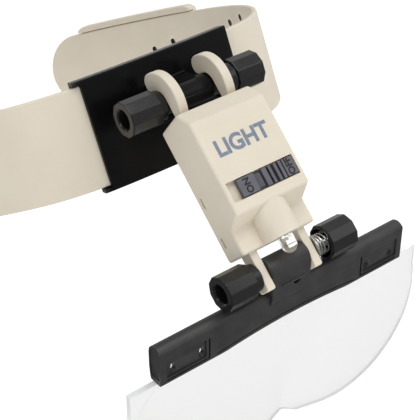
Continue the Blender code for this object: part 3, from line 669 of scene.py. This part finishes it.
def band_point(s, outwards, z):
    """A point at arc length s from the brow's middle, off the strap's outer face by outwards."""
    x, y, heading, left = 0.0, BAND_FRONT, 0.0, abs(s)
    for radius, length in BAND_ARCS:
        turn = min(left, length) / radius
        chord = 2 * radius * sin(turn / 2)
        x += chord * cos(heading + turn / 2)
        y += chord * sin(heading + turn / 2)
        heading += turn
        left -= min(left, length)
    side = -1 if s < 0 else 1
    return Vector((side * (x + outwards * sin(heading)), y - outwards * cos(heading), z))


def stations(start, end, step):
    count = max(1, round((end - start) / step))
    return [start + (end - start) * i / count for i in range(count + 1)]


def band_sweep(section_at, places):
    """A closed section of (outwards, z), which may change along the way, carried along the band."""
    return skinned([[band_point(s, t, z) for t, z in section_at(s)] for s in places])


def strap():
    """A strip with round ends and soft edges, with size holes right and pegs left."""
    middle = (STRAP_TOP + STRAP_BOTTOM) / 2
    half = (STRAP_TOP - STRAP_BOTTOM) / 2
    straight = STRAP_REACH - half

    def section(s):
        past = max(0.0, abs(s) - straight)
        height = sqrt(max(half * half - past * past, 0.0))
        edge = min(STRAP_EDGE, 0.6 * height)
        ring = softened([(0, -height), (0, height), (-STRAP_THICK, height), (-STRAP_THICK, -height)], edge)
        third = len(ring) // 4
        rungs = [(height - edge) * (2 * i / 9 - 1) for i in range(1, 9)]
        ring = (ring[:third] + [(0, z) for z in rungs] + ring[third:3 * third]
                + [(-STRAP_THICK, -z) for z in rungs] + ring[3 * third:])
        return [(t, middle + z) for t, z in ring]

    turns = [half * sin(radians(a)) for a in range(6, 90, 6)] + [half * sin(radians(88.6))]
    made = band_sweep(section, [-straight - turn for turn in reversed(turns)]
                      + stations(-straight, straight, 2.2) + [straight + turn for turn in turns])
    holes = [rod(SIZE_HOLE_RADIUS, band_point(s, -5, z), band_point(s, 4, z), 32) for s, z in SIZE_HOLES]
    flares = [rod(SIZE_HOLE_RADIUS - 0.1, band_point(s, -0.4, z), band_point(s, 0.2, z), 32,
                  end_radius=SIZE_HOLE_RADIUS + 0.45) for s, z in SIZE_HOLES]
    cut(made, *holes, *flares)
    for s, z in SIZE_HOLES[2:]:
        inner, tip = band_point(-s, -STRAP_THICK / 2, z), band_point(-s, PEG_HEIGHT, z)
        join(made, round_edges(rod(PEG_RADIUS, inner, tip, 32), 0.35))
    shown(made, "strap_moulding", "headband", CREAM, "headband_strap", slot="cream_plastic")
    # the walls of the holes are painted dark: painted shade for the shadow inside the holes
    made.data.materials.append(HOLE_SHADE)
    shade_reach = (SIZE_HOLE_RADIUS + 0.5) * MM
    for face in made.data.polygons:
        for s, z in SIZE_HOLES:
            way = (band_point(s, 1, z) - band_point(s, 0, z)).normalized()
            off = face.center - band_point(s, -STRAP_THICK / 2, z) * MM
            if abs(face.normal.dot(way)) < 0.8 and (off - way * off.dot(way)).length < shade_reach:
                face.material_index = 1


def keeper():
    """A channel outside the right side of the strap, its two lips rounded off at both ends."""
    inside = STRAP_THICK + GAP
    top, bottom = STRAP_TOP + GAP, STRAP_BOTTOM - GAP
    run = 4.5

    def section(s):
        near = min(1.0, (min(s - KEEPER_START, KEEPER_END - s) + 0.35) / run)
        lip = KEEPER_LIP * sqrt(1 - (1 - near) ** 2)
        outline = [(GAP + KEEPER_WALL, bottom - lip), (GAP + KEEPER_WALL, top + lip), (-inside, top + lip),
                   (-inside, top), (GAP, top), (GAP, bottom), (-inside, bottom), (-inside, bottom - lip)]
        return softened(outline, [0.6, 0.6, 0.5, 0.2, 0.2, 0.2, 0.2, 0.5], 3)

    ends = [0.0, 0.3, 0.7, 1.3, 2.1, 3.1]
    places = ([KEEPER_START + e for e in ends] + stations(KEEPER_START + run, KEEPER_END - run, 2.5)
              + [KEEPER_END - e for e in reversed(ends)])
    made = band_sweep(section, places)
    shown(made, "keeper_moulding", "keeper", CREAM, "keeper_sleeve", slot="cream_plastic")


def brow_pad():
    """A foam strip, flat where it meets the brow, its edges pulled in all round."""
    inner = -band_point(PAD_FLAT_HALF, 0, 0).y
    outer = -STRAP_THICK - GAP

    def section(s):
        near = min(1.0, (PAD_HALF_ARC - abs(s) + 0.25) / 3.5)
        full = sqrt(1 - (1 - near) ** 2)
        back = outer - (inner + outer) * full
        half = PAD_HALF_HEIGHT - 2.5 * (1 - full)
        crown = max(0.05, 0.5 * min(1.0, (abs(s) - PAD_FLAT_HALF) / 8))
        return softened([(outer, -half), (outer, half), (back + crown, half), (back, 0),
                         (back + crown, -half)], [0.5, 0.5, 1.9, 6, 1.9], 5)

    ends = [0.0, 0.3, 0.8, 1.6, 2.6]
    half = stations(PAD_FLAT_HALF, PAD_HALF_ARC - 3.5, 2.0) + [PAD_HALF_ARC - e for e in reversed(ends)]
    made = band_sweep(section, [-s for s in reversed(half)] + [-3, 0, 3] + half)
    piece = shown(made, "foam_brow_pad", "headband", FOAM, "brow_pad", slot="foam")


def brow_plate():
    """A curved plate with flanges that grip the strap, and the bracket of the upper hinge on it."""
    grip = -STRAP_THICK - GAP
    back = grip - 1.0
    front = GAP + PLATE_THICK
    top, bottom = STRAP_TOP + GAP, STRAP_BOTTOM - GAP
    outline = [(front, PLATE_BOTTOM), (front, PLATE_TOP), (back, PLATE_TOP), (back, top - PLATE_LIP),
               (grip, top - PLATE_LIP), (grip, top), (GAP, top), (GAP, bottom), (grip, bottom),
               (grip, bottom + PLATE_LIP), (back, bottom + PLATE_LIP), (back, PLATE_BOTTOM)]
    ring = softened(outline, [0.55, 0.55, 0.4, 0.3, 0.2, 0.1, 0.1, 0.1, 0.1, 0.2, 0.3, 0.4], 3)
    reach = PLATE_HALF_ARC + PLATE_TAB
    made = band_sweep(lambda s: ring, stations(-reach, reach, 1.5))
    # the plate's face ends short of the flanges on the right, and both end together on the left
    edge = PLATE_HALF_ARC - 0.2
    cut(made, box((-reach - 3, BAND_FRONT - 6, bottom - 0.1), (-edge, BAND_FRONT + 2.1, top + 0.1)))
    cut(made, box((edge, BAND_FRONT - 6, PLATE_BOTTOM - 1), (reach + 3, BAND_FRONT + 9, PLATE_TOP + 1)))
    y, z = UPPER.y, UPPER.z
    base = BAND_FRONT - 0.8
    rim = arc((y, z), BARREL_RADIUS, 75, 285, 40) + [(base, z - 7), (base, z + 5.5)]
    web = round_edges(prism([rim], -UPPER_BARREL_HALF, UPPER_BARREL_HALF), 0.35)
    foot = box((-FOOT_HALF, base - FOOT_THICK, z - 7.6), (FOOT_HALF, base + 0.15, z + 6), 0.6, 4)
    join(made, foot)
    join(made, web)
    cut(made, bore(y, z))
    shown(made, "plate_and_bracket", "headband", GLOSS, "brow_plate", slot="gloss_black_plastic")


# ------------ bolts, knobs and spring

def threaded_bolt(name, body, node, ends, centre, place):
    """A round bolt whose two ends carry a rolled thread."""
    start, end = ends
    length, chamfer = end - start, 0.4
    thread = []
    for i in range(int(THREAD_LENGTH / THREAD_PITCH)):
        thread += [(BOLT_RADIUS - THREAD_DEPTH, i * THREAD_PITCH), (BOLT_RADIUS, (i + 0.5) * THREAD_PITCH)]
    upper = [(r, length - chamfer - h) for r, h in thread]
    lower = [(r, chamfer + h) for r, h in reversed(thread)]
    profile = ([(0, length), (BOLT_RADIUS - chamfer, length)] + upper + lower
               + [(BOLT_RADIUS - chamfer, 0), (0, 0)])
    shown(turned(profile, across(start, *centre), 32), name, body, STEEL, node, place=place, slot="steel")


def knob(name, body, node, side, centre, inner, collar, span, collar_radius, neck_radius, place, cup=0.0):
    """A faceted knob: neck, round collar and faceted body, hollow outside, bored for the bolt.

    The distances run outwards from the middle: inner end, start of the collar, and the span of
    the body. A cup is a recess for a spring in the inner end.
    """
    y, z = centre
    start, end = span

    def at(x):
        return (side * x, y, z)

    def ring(radius, low, high):
        return rod(radius, at(low), at(high))

    made = round_edges(rod(KNOB_RADIUS, at(start), at(end), KNOB_FACETS), 0.32, 3, 30)
    join(made, round_edges(ring(collar_radius, collar, start + 0.6), 0.25))
    if collar - inner > 0.3:
        join(made, ring(neck_radius, inner, collar + 0.1))
    elif inner < collar:
        join(made, ring(neck_radius, inner, start + 0.1))
    flare, floor = 0.5, end - 6.5
    inside = [(0, end + flare), (KNOB_HOLLOW + 2 * flare, end + flare), (KNOB_HOLLOW, end - flare),
              (KNOB_HOLLOW, floor), (BORE_RADIUS, floor)]
    mouth = BORE_RADIUS
    if cup:
        mouth = COLLAR_RADIUS - 0.3
        inside += [(BORE_RADIUS, inner + cup), (mouth, inner + cup)]
    inside += [(mouth, inner - 1)]
    cut(made, turned(inside + [(0, inner - 1)], across(0, y, z, side), ROUND))
    shown(made, name, body, KNOB, node, place=place, slot="black_plastic", crease=28)


def upper_hinge():
    centre = (UPPER.y, UPPER.z)
    threaded_bolt("upper_bolt_threaded", "headband", "upper_bolt", UPPER_BOLT, centre, HEAD)
    neck, flange = UPPER_BARREL_HALF + GAP, HOOK_OUT + GAP
    knob("upper_left_grip", "upper_left_knob", "upper_knob_left", -1, centre, neck, flange,
         UPPER_LEFT_BODY, COLLAR_RADIUS, NECK_RADIUS, HEAD)
    knob("upper_right_grip", "upper_right_knob", "upper_knob_right", 1, centre, neck, flange,
         UPPER_RIGHT_BODY, COLLAR_RADIUS, NECK_RADIUS, HEAD)


def coil(start, end, centre):
    """A round wire coil with its end turns closed up, on the bolt."""
    per_turn = 32
    count = round(SPRING_TURNS * per_turn)
    route = []
    for i in range(count + 1):
        part = i / count
        eased = part - 0.06 * sin(2 * pi * part)
        angle = 2 * pi * i / per_turn
        x = start + SPRING_WIRE + (end - start - 2 * SPRING_WIRE) * eased
        route.append((x, centre[0] + SPRING_RADIUS * cos(angle), centre[1] + SPRING_RADIUS * sin(angle)))
    shown(tube(route, SPRING_WIRE, 16), "coil_spring", "lamp_box", STEEL, "clamp_spring", place=LAMP,
          slot="steel")


def lower_hinge():
    centre = (HINGE.y, HINGE.z)
    threaded_bolt("lower_bolt_threaded", "lamp_box", "lower_bolt", LOWER_BOLT, centre, LAMP)
    seat = ARM_OUT + GAP
    knob("lower_left_grip", "lower_left_knob", "lower_knob_left", -1, centre, seat, seat + 0.2,
         LOWER_LEFT_BODY, LOWER_LEFT_COLLAR, LOWER_LEFT_NECK, LAMP)
    inner = LOWER_RIGHT_BODY[0] - 0.4
    knob("lower_right_grip", "lower_right_knob", "lower_knob_right", 1, centre, inner, inner,
         LOWER_RIGHT_BODY, LOWER_RIGHT_COLLAR, LOWER_RIGHT_COLLAR, LAMP, SPRING_CUP)
    edge = 0.1
    washer = [(BORE_RADIUS, WASHER_THICK), (WASHER_RADIUS - edge, WASHER_THICK),
              (WASHER_RADIUS, WASHER_THICK - edge), (WASHER_RADIUS, edge), (WASHER_RADIUS - edge, 0),
              (BORE_RADIUS, 0), (BORE_RADIUS, WASHER_THICK)]
    shown(turned(washer, across(seat, *centre)), "plain_washer", "lamp_box", STEEL, "spring_washer",
          place=LAMP, slot="steel")
    coil(seat + WASHER_THICK + GAP, SPRING_END, centre)


# ------------ lamp box

def side_profile(inset, roof):
    """The box seen from its side, under a roof that runs from front to back, its lower part set in."""
    front, back = roof[0][0], roof[-1][0]
    platform = PLATFORM_FRONT + front - BOX_FRONT
    return roof + [(back, BOX_BOTTOM + inset), (platform, BOX_BOTTOM + inset),
                   (platform, PLATFORM_TOP + inset / 2), (front, BOX_STEP + inset / 2)]


def hook(side):
    """A C open to the back: from a round tip over the top and the front down into the box."""
    centre = (UPPER_IN_LAMP.y, UPPER_IN_LAMP.z)
    middle = (HOOK_RADIUS + EYE_RADIUS) / 2
    tip_centre = arc(centre, middle, HOOK_TIP, HOOK_TIP, 1)[0]
    rim = arc(centre, HOOK_RADIUS, HOOK_TIP, HOOK_ROOT, 48)
    rim += [(rim[-1][0], centre[1] + HOOK_FOOT), (centre[0] - EYE_RADIUS, centre[1] + HOOK_FOOT)]
    rim += arc(centre, EYE_RADIUS, 185, HOOK_TIP, 28)
    rim += arc(tip_centre, (HOOK_RADIUS - EYE_RADIUS) / 2, HOOK_TIP + 180, HOOK_TIP + 360, 24)[1:-1]
    low, high = sorted((side * HOOK_IN, side * HOOK_OUT))
    return round_edges(prism([rim], low, high), 0.6, 4)


def lamp_front_shell():
    made = round_edges(prism([side_profile(0, BOX_ROOF)], -BOX_HALF, BOX_HALF), BOX_ROUNDING, 4)
    # the nose around the lamp, a little wider at its mouth
    nose = [(0, BOX_STEP + 0.6), (NOSE_RADIUS, BOX_STEP + 0.6), (NOSE_MOUTH, BOX_BOTTOM + 0.5),
            (NOSE_MOUTH - 0.15, BOX_BOTTOM + 0.15), (NOSE_MOUTH - 0.5, BOX_BOTTOM), (0, BOX_BOTTOM)]
    join(made, turned(nose, Matrix.Translation((0, NOSE_Y, 0))))
    for side in (-1, 1):
        low, high = sorted((side * ARM_IN, side * ARM_OUT))
        arm = softened([(ARM_FRONT, BOX_BOTTOM + 0.8), (ARM_FRONT, ARM_END), (ARM_BACK, ARM_END),
                        (ARM_BACK, BOX_BOTTOM + 0.8)], [0, 1.1, 1.1, 0])
        join(made, hook(side), round_edges(prism([arm], low, high), 0.35, 3))
    cavity_half = BOX_HALF - WALL - LEDGE
    ceiling = [(BOX_FRONT + FRONT_WALL, COVER_TOP - LEDGE), (BOX_BACK + 2, COVER_TOP - LEDGE)]
    cavity = prism([side_profile(WALL + LEDGE, ceiling)], -cavity_half, cavity_half)
    mouth = box((WALL - BOX_HALF, BOX_BACK - COVER_THICK - GAP, BOX_BOTTOM + WALL),
                (BOX_HALF - WALL, BOX_BACK + 1, COVER_TOP))
    slot = box((-SLOT_HALF, BOX_FRONT - 1, SLOT_BOTTOM), (SLOT_HALF, BOX_FRONT + SLOT_DEPTH, SLOT_TOP))
    window = box((-WINDOW_HALF, BOX_FRONT + 1, WINDOW_BOTTOM), (WINDOW_HALF, BOX_FRONT + 4, WINDOW_TOP))
    tunnel = rod(LED_RADIUS + GAP, (0, LED_Y, BOX_BOTTOM - 1), (0, LED_Y, BOX_STEP + 2.2), turn=0.05)
    cut(made, cavity, mouth, slot, window, tunnel, bore(HINGE.y, HINGE.z))
    for side in (-1, 1):
        for z in SLIT_HEIGHTS:
            low, high = sorted((side * (BOX_HALF - 2 * WALL), side * (BOX_HALF + 1)))
            cut(made, box((low, 4.3, z - SLIT_HALF), (high, 5.2, z + SLIT_HALF)))
    shown(made, "lamp_housing", "lamp_box", CREAM, "lamp_front_shell", place=LAMP, slot="cream_plastic")


def lamp_back_cover():
    """A flat lid inside the rim, with two clips inside."""
    made = box((WALL + GAP - BOX_HALF, BOX_BACK - COVER_THICK, BOX_BOTTOM + WALL + GAP),
               (BOX_HALF - WALL - GAP, BOX_BACK, COVER_TOP - GAP), 0.35)
    for side in (-1, 1):
        low, high = sorted((side * (BOX_HALF - WALL - LEDGE - GAP), side * (BOX_HALF - WALL - LEDGE - 1.3)))
        join(made, box((low, BOX_BACK - COVER_THICK - 2.4, -48.4), (high, BOX_BACK - 0.7, -33.0)))
    shown(made, "battery_lid", "battery_cover", CREAM, "lamp_back_cover", place=LAMP, slot="cream_plastic")


def lettering(word, size, place, turn, depth):
    """Plain raised letters, facing forwards, centred on a point of the lamp box's front."""
    curve = bpy.data.curves.new("word", "FONT")
    curve.body = word
    curve.size = size
    curve.align_x = "CENTER"
    curve.align_y = "CENTER"
    curve.extrude = depth
    curve.offset = size * 0.035
    mesh = drawn(curve)
    mesh.transform(Matrix.Translation(place) @ turn_about_x(pi / 2) @ Matrix.Rotation(turn, 4, "Z"))
    return loose(cleaned(mesh))


# The slider's top from its left end: blocks that stand up, as (start, end) on the box's front
ON_BLOCK = (-8.9, -2.6)
OFF_BLOCK = (8.3, 12.3)
RIDGES = [(0.4, 2.2), (3.0, 3.9), (5.05, 6.1), (6.8, 7.9)]
PATCH = (-2.6, 0.4)


def switch():
    """The slider: a base with raised ON and OFF blocks, a flat patch and four ridges."""
    face, floor = BOX_FRONT - 0.1, BOX_FRONT + SLOT_DEPTH - GAP
    low, high = SLOT_BOTTOM + 0.35, SLOT_TOP - 0.35
    middle = SLOT_HALF - 0.4 - SLIDER_LENGTH / 2
    made = box((ON_BLOCK[0], face + 1.25, low), (OFF_BLOCK[1], floor, high), 0.1, 2)
    for start, end in (ON_BLOCK, OFF_BLOCK, *RIDGES):
        join(made, box((start, face, low + 0.05), (end, floor - 0.2, high - 0.05), 0.14, 2))
    join(made, box((PATCH[0] - 0.1, face + 0.7, low + 0.6), (PATCH[1] - 0.5, floor - 0.2, high - 0.6),
                   0.1, 2))
    join(made, box((middle - STEM_HALF, floor - 0.5, STEM_BOTTOM), (middle + STEM_HALF, STEM_BACK, STEM_TOP)))
    shown(made, "slider_cap", "slider", GREY, "switch_slider", place=LAMP, slot="dark_grey_plastic")
    height = (low + high) / 2
    for word, block in (("ON", ON_BLOCK), ("OFF", OFF_BLOCK)):
        centre = ((block[0] + block[1]) / 2, face, height)
        raised = lettering(word, SWITCH_PRINT, centre, pi / 2, 0.05)
        shown(raised, f"word_{word.lower()}", "slider", BLACK_INK, place=LAMP)


def printed_label():
    raised = lettering("LIGHT", LABEL_PRINT, (LABEL_X, BOX_FRONT, LABEL_Z), 0.0, 0.03)
    shown(raised, "word_light", "lamp_box", BLUE_INK, place=LAMP)


def lamp_bulb():
    """A clear round-nosed LED with its reflector cup and two posts inside."""
    base = LED_TIP + LED_LENGTH
    dome = arc((0, LED_TIP + LED_RADIUS), LED_RADIUS, 0, -90, 24)
    profile = [(0, base), (LED_RADIUS - 0.1, base), (LED_RADIUS, base - 0.1)] + dome
    shown(turned(profile, Matrix.Translation((0, LED_Y, 0))), "lamp_bulb_clear", "lamp_box", LED_EPOXY,
          "led_bulb", place=LAMP, slot="clear_acrylic")
    cup_top = LED_TIP + 3.9
    cup_x = -0.45
    cup = [(0, cup_top + 1.0), (0.35, cup_top + 1.0), (0.75, cup_top + 1.0), (0.95, cup_top),
           (0.8, cup_top), (0.35, cup_top + 0.5), (0, cup_top + 0.5)]
    shown(turned(cup, Matrix.Translation((cup_x, LED_Y, 0)), 48), "reflector_cup", "lamp_box", BRIGHT,
          place=LAMP, slot="steel")
    chip = rod(0.45, (cup_x, LED_Y, cup_top + 0.15), (cup_x, LED_Y, cup_top + 0.45), 24)
    shown(chip, "lamp_chip", "lamp_box", PHOSPHOR, place=LAMP)
    for x, half, top in ((-0.75, 0.35, cup_top + 0.9), (0.95, 0.3, cup_top + 0.5)):
        post = box((x - half, LED_Y - 0.22, top), (x + half, LED_Y + 0.22, base - 0.15), 0.06, 2)
        shown(post, f"lamp_post_{'left' if x < 0 else 'right'}", "lamp_box", BRIGHT, place=LAMP, slot="steel")


def inner_parts():
    """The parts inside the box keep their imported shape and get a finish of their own."""
    finishes = {"coin_cell_1": BRUSHED, "coin_cell_2": BRUSHED, "contact_front": BRASS, "contact_rear": BRASS,
                "circuit_board": BOARD, "led_resistor": RESISTOR, "led_lead_cathode": BRIGHT,
                "led_lead_anode": BRIGHT, "wire_rear": BLACK, "switch_body": BRUSHED}
    for name, finish in finishes.items():
        node = frame["nodes"][name]
        for slot in node.material_slots:
            slot.material = finish


# ------------ lens bar and lens

def bar_section():
    """The bar seen from its end: flat front, round top, back tapering to the lower edge."""
    top = arc((-0.4, BAR_TOP - 3.3), 3.3, 145, 20, 14)
    return ([(BAR_FRONT, BAR_BOTTOM + 0.5), (BAR_FRONT, BAR_TOP - 1.6)] + top
            + [(BAR_BACK, BAR_TOP - 3.4), (BAR_BACK, BAR_TOP - 9), (2.5, BAR_BOTTOM + 1.2),
               (2.1, BAR_BOTTOM), (BAR_FRONT + 0.5, BAR_BOTTOM)])


def shrunk(outline, factor):
    """An outline drawn in towards its middle."""
    middle = sum((Vector(point) for point in outline), Vector((0, 0))) / len(outline)
    return [tuple(middle + (Vector(point) - middle) * factor) for point in outline]


def lower_arch(lift=0.0):
    """The bar's lower edge where it arches up across the middle, moved up by lift."""
    radius = (ARCH_HALF ** 2 + ARCH_RISE ** 2) / (2 * ARCH_RISE)
    spread = 1.06 * asin(ARCH_HALF / radius) * 180 / pi
    return arc((0, BAR_BOTTOM + ARCH_RISE + lift - radius), radius, 90 + spread, 90 - spread, 48)


def keyhole(x):
    """A slot with a round lower end, which goes through the bar from front to back."""
    return (arc((x, KEYHOLE_Z - 0.9), KEYHOLE_WIDE, 180, 360, 20)
            + arc((x, KEYHOLE_Z + 1.4), KEYHOLE_NARROW, 0, 180, 14))


def engrave(made, outline, depth):
    """Sinks an outline into the bar's front."""
    cut(made, prism([outline], BAR_FRONT - 1, BAR_FRONT + depth, ALONG_Y))


def lens_bar():
    made = round_edges(prism([bar_section()], -BAR_HALF, BAR_HALF), 0.55, 4)
    block = arc((0, 0), BARREL_RADIUS, -42, 180, 40) + [(-BARREL_RADIUS, -8.5), (BAR_FRONT - 0.5, -11),
                                                        (0, -14), (2.4, -9)]
    web = round_edges(prism([block], -LOWER_BARREL_HALF, LOWER_BARREL_HALF), 0.3)
    join(made, web)
    # the arched lower edge, with a groove that follows it
    arch = lower_arch()
    below = arch + [(arch[-1][0], BAR_BOTTOM - 3), (arch[0][0], BAR_BOTTOM - 3)]
    low, high = [lower_arch(lift)[2:-2] for lift in ARCH_GROOVE]
    cut(made, prism([below], BAR_FRONT - 1, BAR_BACK + 1, ALONG_Y))
    engrave(made, high + low[::-1], 0.5)
    # shallow panels around the keyholes, each with an L-shaped groove
    for side in (-1, 1):
        near, far, low, high = side * PANEL_IN, side * PANEL_OUT, BAR_BOTTOM + 1.4, PANEL_TOP
        start = near + side * 1.4
        edge = near + side * 0.7
        engrave(made, [(near, low), (edge, low), (edge, high), (near, high)], GROOVE_DEPTH)
        engrave(made, [(near, low), (far, low), (far, low + 0.6), (near, low + 0.6)], GROOVE_DEPTH)
        panel = softened([(start, low + 1.2), (far, low + 1.2), (far, high), (start, high)], 0.6)
        engrave(made, panel, PANEL_DEPTH)
        low_x, high_x = sorted((side * (BAR_HALF - 0.3), side * (BAR_HALF + 1)))
        cut(made, prism([shrunk(bar_section(), 0.8)], low_x, high_x))
    # the lip under the barrel and the half-round hole below it
    lip = [(LIP_RIGHT, LIP_BOTTOM), (LIP_LEFT, LIP_BOTTOM), (LIP_LEFT, LIP_TOP), (LIP_RIGHT, LIP_TOP)]
    join(made, round_edges(prism([lip], -BARREL_RADIUS - 0.35, 0, ALONG_Y), 0.15, 2))
    hole = arc((2.1, -5.1), 1.4, 180, 360, 24)
    cut(made, prism([hole], -BARREL_RADIUS - 2, -1.5, ALONG_Y))
    channel = box((BAR_END_WALL - BAR_HALF, LENS_Y - LENS_THICK / 2 - GAP, BAR_BOTTOM - 5),
                  (BAR_HALF - BAR_END_WALL, LENS_Y + LENS_THICK / 2 + GAP, TONGUE_TOP + GAP))
    cut(made, channel, bore(0, 0))
    for x in KEYHOLES:
        cut(made, prism([keyhole(x)], BAR_FRONT - 1, BAR_BACK + 1, ALONG_Y))
    shown(made, "bar_moulding", "lens_holder", BLACK, "lens_bar", place=LENS, slot="black_plastic")


def lens_outline():
    """Two round lobes below a straight top, with a tongue that fits the bar's channel."""
    tongue = BAR_HALF - 2
    right = [(tongue, LENS_TOP), (LENS_HALF - 0.8, LENS_TOP)]
    right += arc((LOBE_X, LOBE_Z), LOBE_RADIUS, 12, -104, 90)
    right += [(6.5, NOSE_NOTCH - 4.1), (4.0, NOSE_NOTCH - 2.2), (2.2, NOSE_NOTCH - 1.0)]
    left = [(-x, z) for x, z in reversed(right)]
    return right + [(0, NOSE_NOTCH)] + left + [(-tongue, TONGUE_TOP), (tongue, TONGUE_TOP)]


def lens_plate():
    """A clear slab with two magnifying domes on its front, cut to the outline of the lens."""
    front, back = LENS_Y - LENS_THICK / 2, LENS_Y + LENS_THICK / 2
    wide, deep = LENS_HALF + 8, LOBE_Z - 2 * LOBE_RADIUS
    made = box((-wide, front, deep), (wide, back, TONGUE_TOP + 5))
    ball = (DOME_RADIUS ** 2 + DOME_HEIGHT ** 2) / (2 * DOME_HEIGHT)
    rings = 24
    radii = [DOME_RADIUS * i / rings for i in range(rings + 1)]
    cap = [(r, sqrt(ball * ball - r * r) - ball + DOME_HEIGHT) for r in radii]
    cap += [(DOME_RADIUS, -0.8), (0, -0.8)]
    arch = lower_arch(-GAP)
    side_z = arch[-1][1]
    clear = ([(-wide - 5, side_z)] + arch
             + [(wide + 5, side_z), (wide + 5, deep - 20), (-wide - 5, deep - 20)])
    for side in (-1, 1):
        place = Matrix.Translation((side * DOME_X, front - 0.1, DOME_Z)) @ turn_about_x(pi / 2)
        low, high = sorted((0, side * (wide + 5)))
        dome = common(turned(cap, place, 160), box((low - 0.05, -20, deep - 20), (high + 0.05, 20, 0)))
        join(made, common(dome, prism([clear], -20, 20, ALONG_Y)))
    common(made, prism([lens_outline()], front - 6, back + 1, ALONG_Y))
    round_edges(made, 0.15, 2, 60)
    shown(made, "lens_moulding", "lens", CLEAR, "lens_plate", place=LENS, slot="clear_acrylic", crease=20)
    # the lens's edge faces take the finish with the painted glow, which keeps them light
    made.data.materials.append(FROSTED_GLOW)
    forwards = (LENS.to_3x3() @ Vector((0, 1, 0))).normalized()
    for face in made.data.polygons:
        if abs(face.normal.dot(forwards)) < 0.3:
            face.material_index = 1
    # the pegs in the keyholes also take the painted glow, as painted glints in the holes
    pegs, z = None, KEYHOLE_Z - 0.6
    for x in KEYHOLES:
        peg = round_edges(rod(LENS_PEG_RADIUS, (x, front + 0.05, z), (x, front - 0.25, z), 32), 0.1)
        pegs = join(pegs, peg) if pegs else peg
    shown(pegs, "lens_pegs", "lens", FROSTED_GLOW, place=LENS, slot="clear_acrylic")


# ------------ camera, floor and light

CAMERA_AIM = Vector((-10.6, -29.95, -29.6)) * MM
CAMERA_DISTANCE = 380.5 * MM
CAMERA_AZIMUTH = radians(-30.19)
CAMERA_ELEVATION = radians(14.66)
CAMERA_ROLL = radians(16.86)
CAMERA_LENS = 106.1
FLOOR_DROP = 45 * MM
SOFTBOX_DISTANCE = 1.1


def towards(azimuth, elevation):
    """The direction from the object at these angles, in radians, around it and up."""
    return Vector((sin(azimuth) * cos(elevation), -cos(azimuth) * cos(elevation), sin(elevation)))


def camera():
    lens = bpy.data.cameras.new("camera")
    lens.lens = CAMERA_LENS
    lens.sensor_width = 36
    lens.clip_start, lens.clip_end = 0.01, 20
    eye = loose(lens)
    back = towards(CAMERA_AZIMUTH, CAMERA_ELEVATION)
    level = Vector((cos(CAMERA_AZIMUTH), sin(CAMERA_AZIMUTH), 0))
    upright = back.cross(level)
    right = level * cos(CAMERA_ROLL) - upright * sin(CAMERA_ROLL)
    up = back.cross(right)
    turn = Matrix((right, up, back)).transposed().to_4x4()
    eye.matrix_world = Matrix.Translation(CAMERA_AIM + back * CAMERA_DISTANCE) @ turn
    bpy.context.scene.camera = eye


def floor():
    made = Finish("pale_floor", 0.9, specular=0.0)
    made.colour(made.mixed(made.noise(400), (0.90, 0.90, 0.90), (0.92, 0.92, 0.92)))
    fill(made.shader, {"Emission Color": (1, 1, 1, 1), "Emission Strength": 0.37})
    shape = bmesh.new()
    bmesh.ops.create_grid(shape, x_segments=1, y_segments=1, size=8)
    ground = loose(mesh_of(shape, "pale_floor"))
    ground.location.z = cad_box[0].z - FLOOR_DROP
    ground.data.materials.append(made.material)
    ground.visible_glossy = False


def softbox(name, azimuth, elevation, size, power):
    """A rectangular light that faces the object from a direction around it."""
    light = bpy.data.lights.new(name, "AREA")
    light.shape = "RECTANGLE"
    light.size, light.size_y = size
    light.energy = power
    aimed(light, azimuth, elevation, SOFTBOX_DISTANCE)


def skylight(azimuth, elevation, strength, spread):
    """A wide even light on the object and the floor alike."""
    light = bpy.data.lights.new("skylight", "SUN")
    light.energy = strength
    light.angle = radians(spread)
    aimed(light, azimuth, elevation, 2)


def aimed(light, azimuth, elevation, distance):
    lamp = loose(light)
    back = towards(radians(azimuth), radians(elevation))
    lamp.location = CAMERA_AIM + back * distance
    lamp.rotation_mode = "QUATERNION"
    lamp.rotation_quaternion = back.to_track_quat("Z", "Y")


def surroundings(bright, dark, strength):
    """A white backdrop, also through the lens, in a room that is bright above and to the wearer's left."""
    world = bpy.data.worlds.new("studio")
    world.use_nodes = True
    nodes, link = world.node_tree.nodes, world.node_tree.links.new
    leaning = nodes.new("ShaderNodeVectorMath")
    leaning.operation = "DOT_PRODUCT"
    leaning.inputs[1].default_value = (0.75, 0.0, 0.66)
    link(nodes.new("ShaderNodeTexCoord").outputs["Generated"], leaning.inputs[0])
    ramp = nodes.new("ShaderNodeMapRange")
    fill(ramp, {"From Min": -0.35, "From Max": 0.75, "To Min": dark, "To Max": bright})
    link(leaning.outputs["Value"], ramp.inputs["Value"])
    plain = nodes["Background"]
    fill(plain, {"Strength": strength})
    link(ramp.outputs["Result"], plain.inputs["Color"])
    white = nodes.new("ShaderNodeBackground")
    fill(white, {"Color": (1, 1, 1, 1)})
    blend = nodes.new("ShaderNodeMixShader")
    ray = nodes.new("ShaderNodeLightPath").outputs
    direct = nodes.new("ShaderNodeMath")
    direct.operation = "MAXIMUM"
    link(ray["Is Camera Ray"], direct.inputs[0])
    link(ray["Is Transmission Ray"], direct.inputs[1])
    link(direct.outputs[0], blend.inputs["Fac"])
    link(plain.outputs[0], blend.inputs[1])
    link(white.outputs[0], blend.inputs[2])
    link(blend.outputs[0], nodes["World Output"].inputs["Surface"])
    bpy.context.scene.world = world


def studio():
    surroundings(1.1, 0.3, 0.6)
    skylight(15, 60, 1.0, 35)
    softbox("key", -60, 35, (0.5, 0.5), 2.0)
    softbox("front", 40, 25, (0.4, 0.6), 0.6)
    bpy.context.scene.view_settings.view_transform = "Standard"


camera()
strap()
keeper()
brow_pad()
brow_plate()
upper_hinge()
lower_hinge()
lamp_front_shell()
lamp_back_cover()
switch()
printed_label()
lamp_bulb()
inner_parts()
lens_bar()
lens_plate()
floor()
studio()
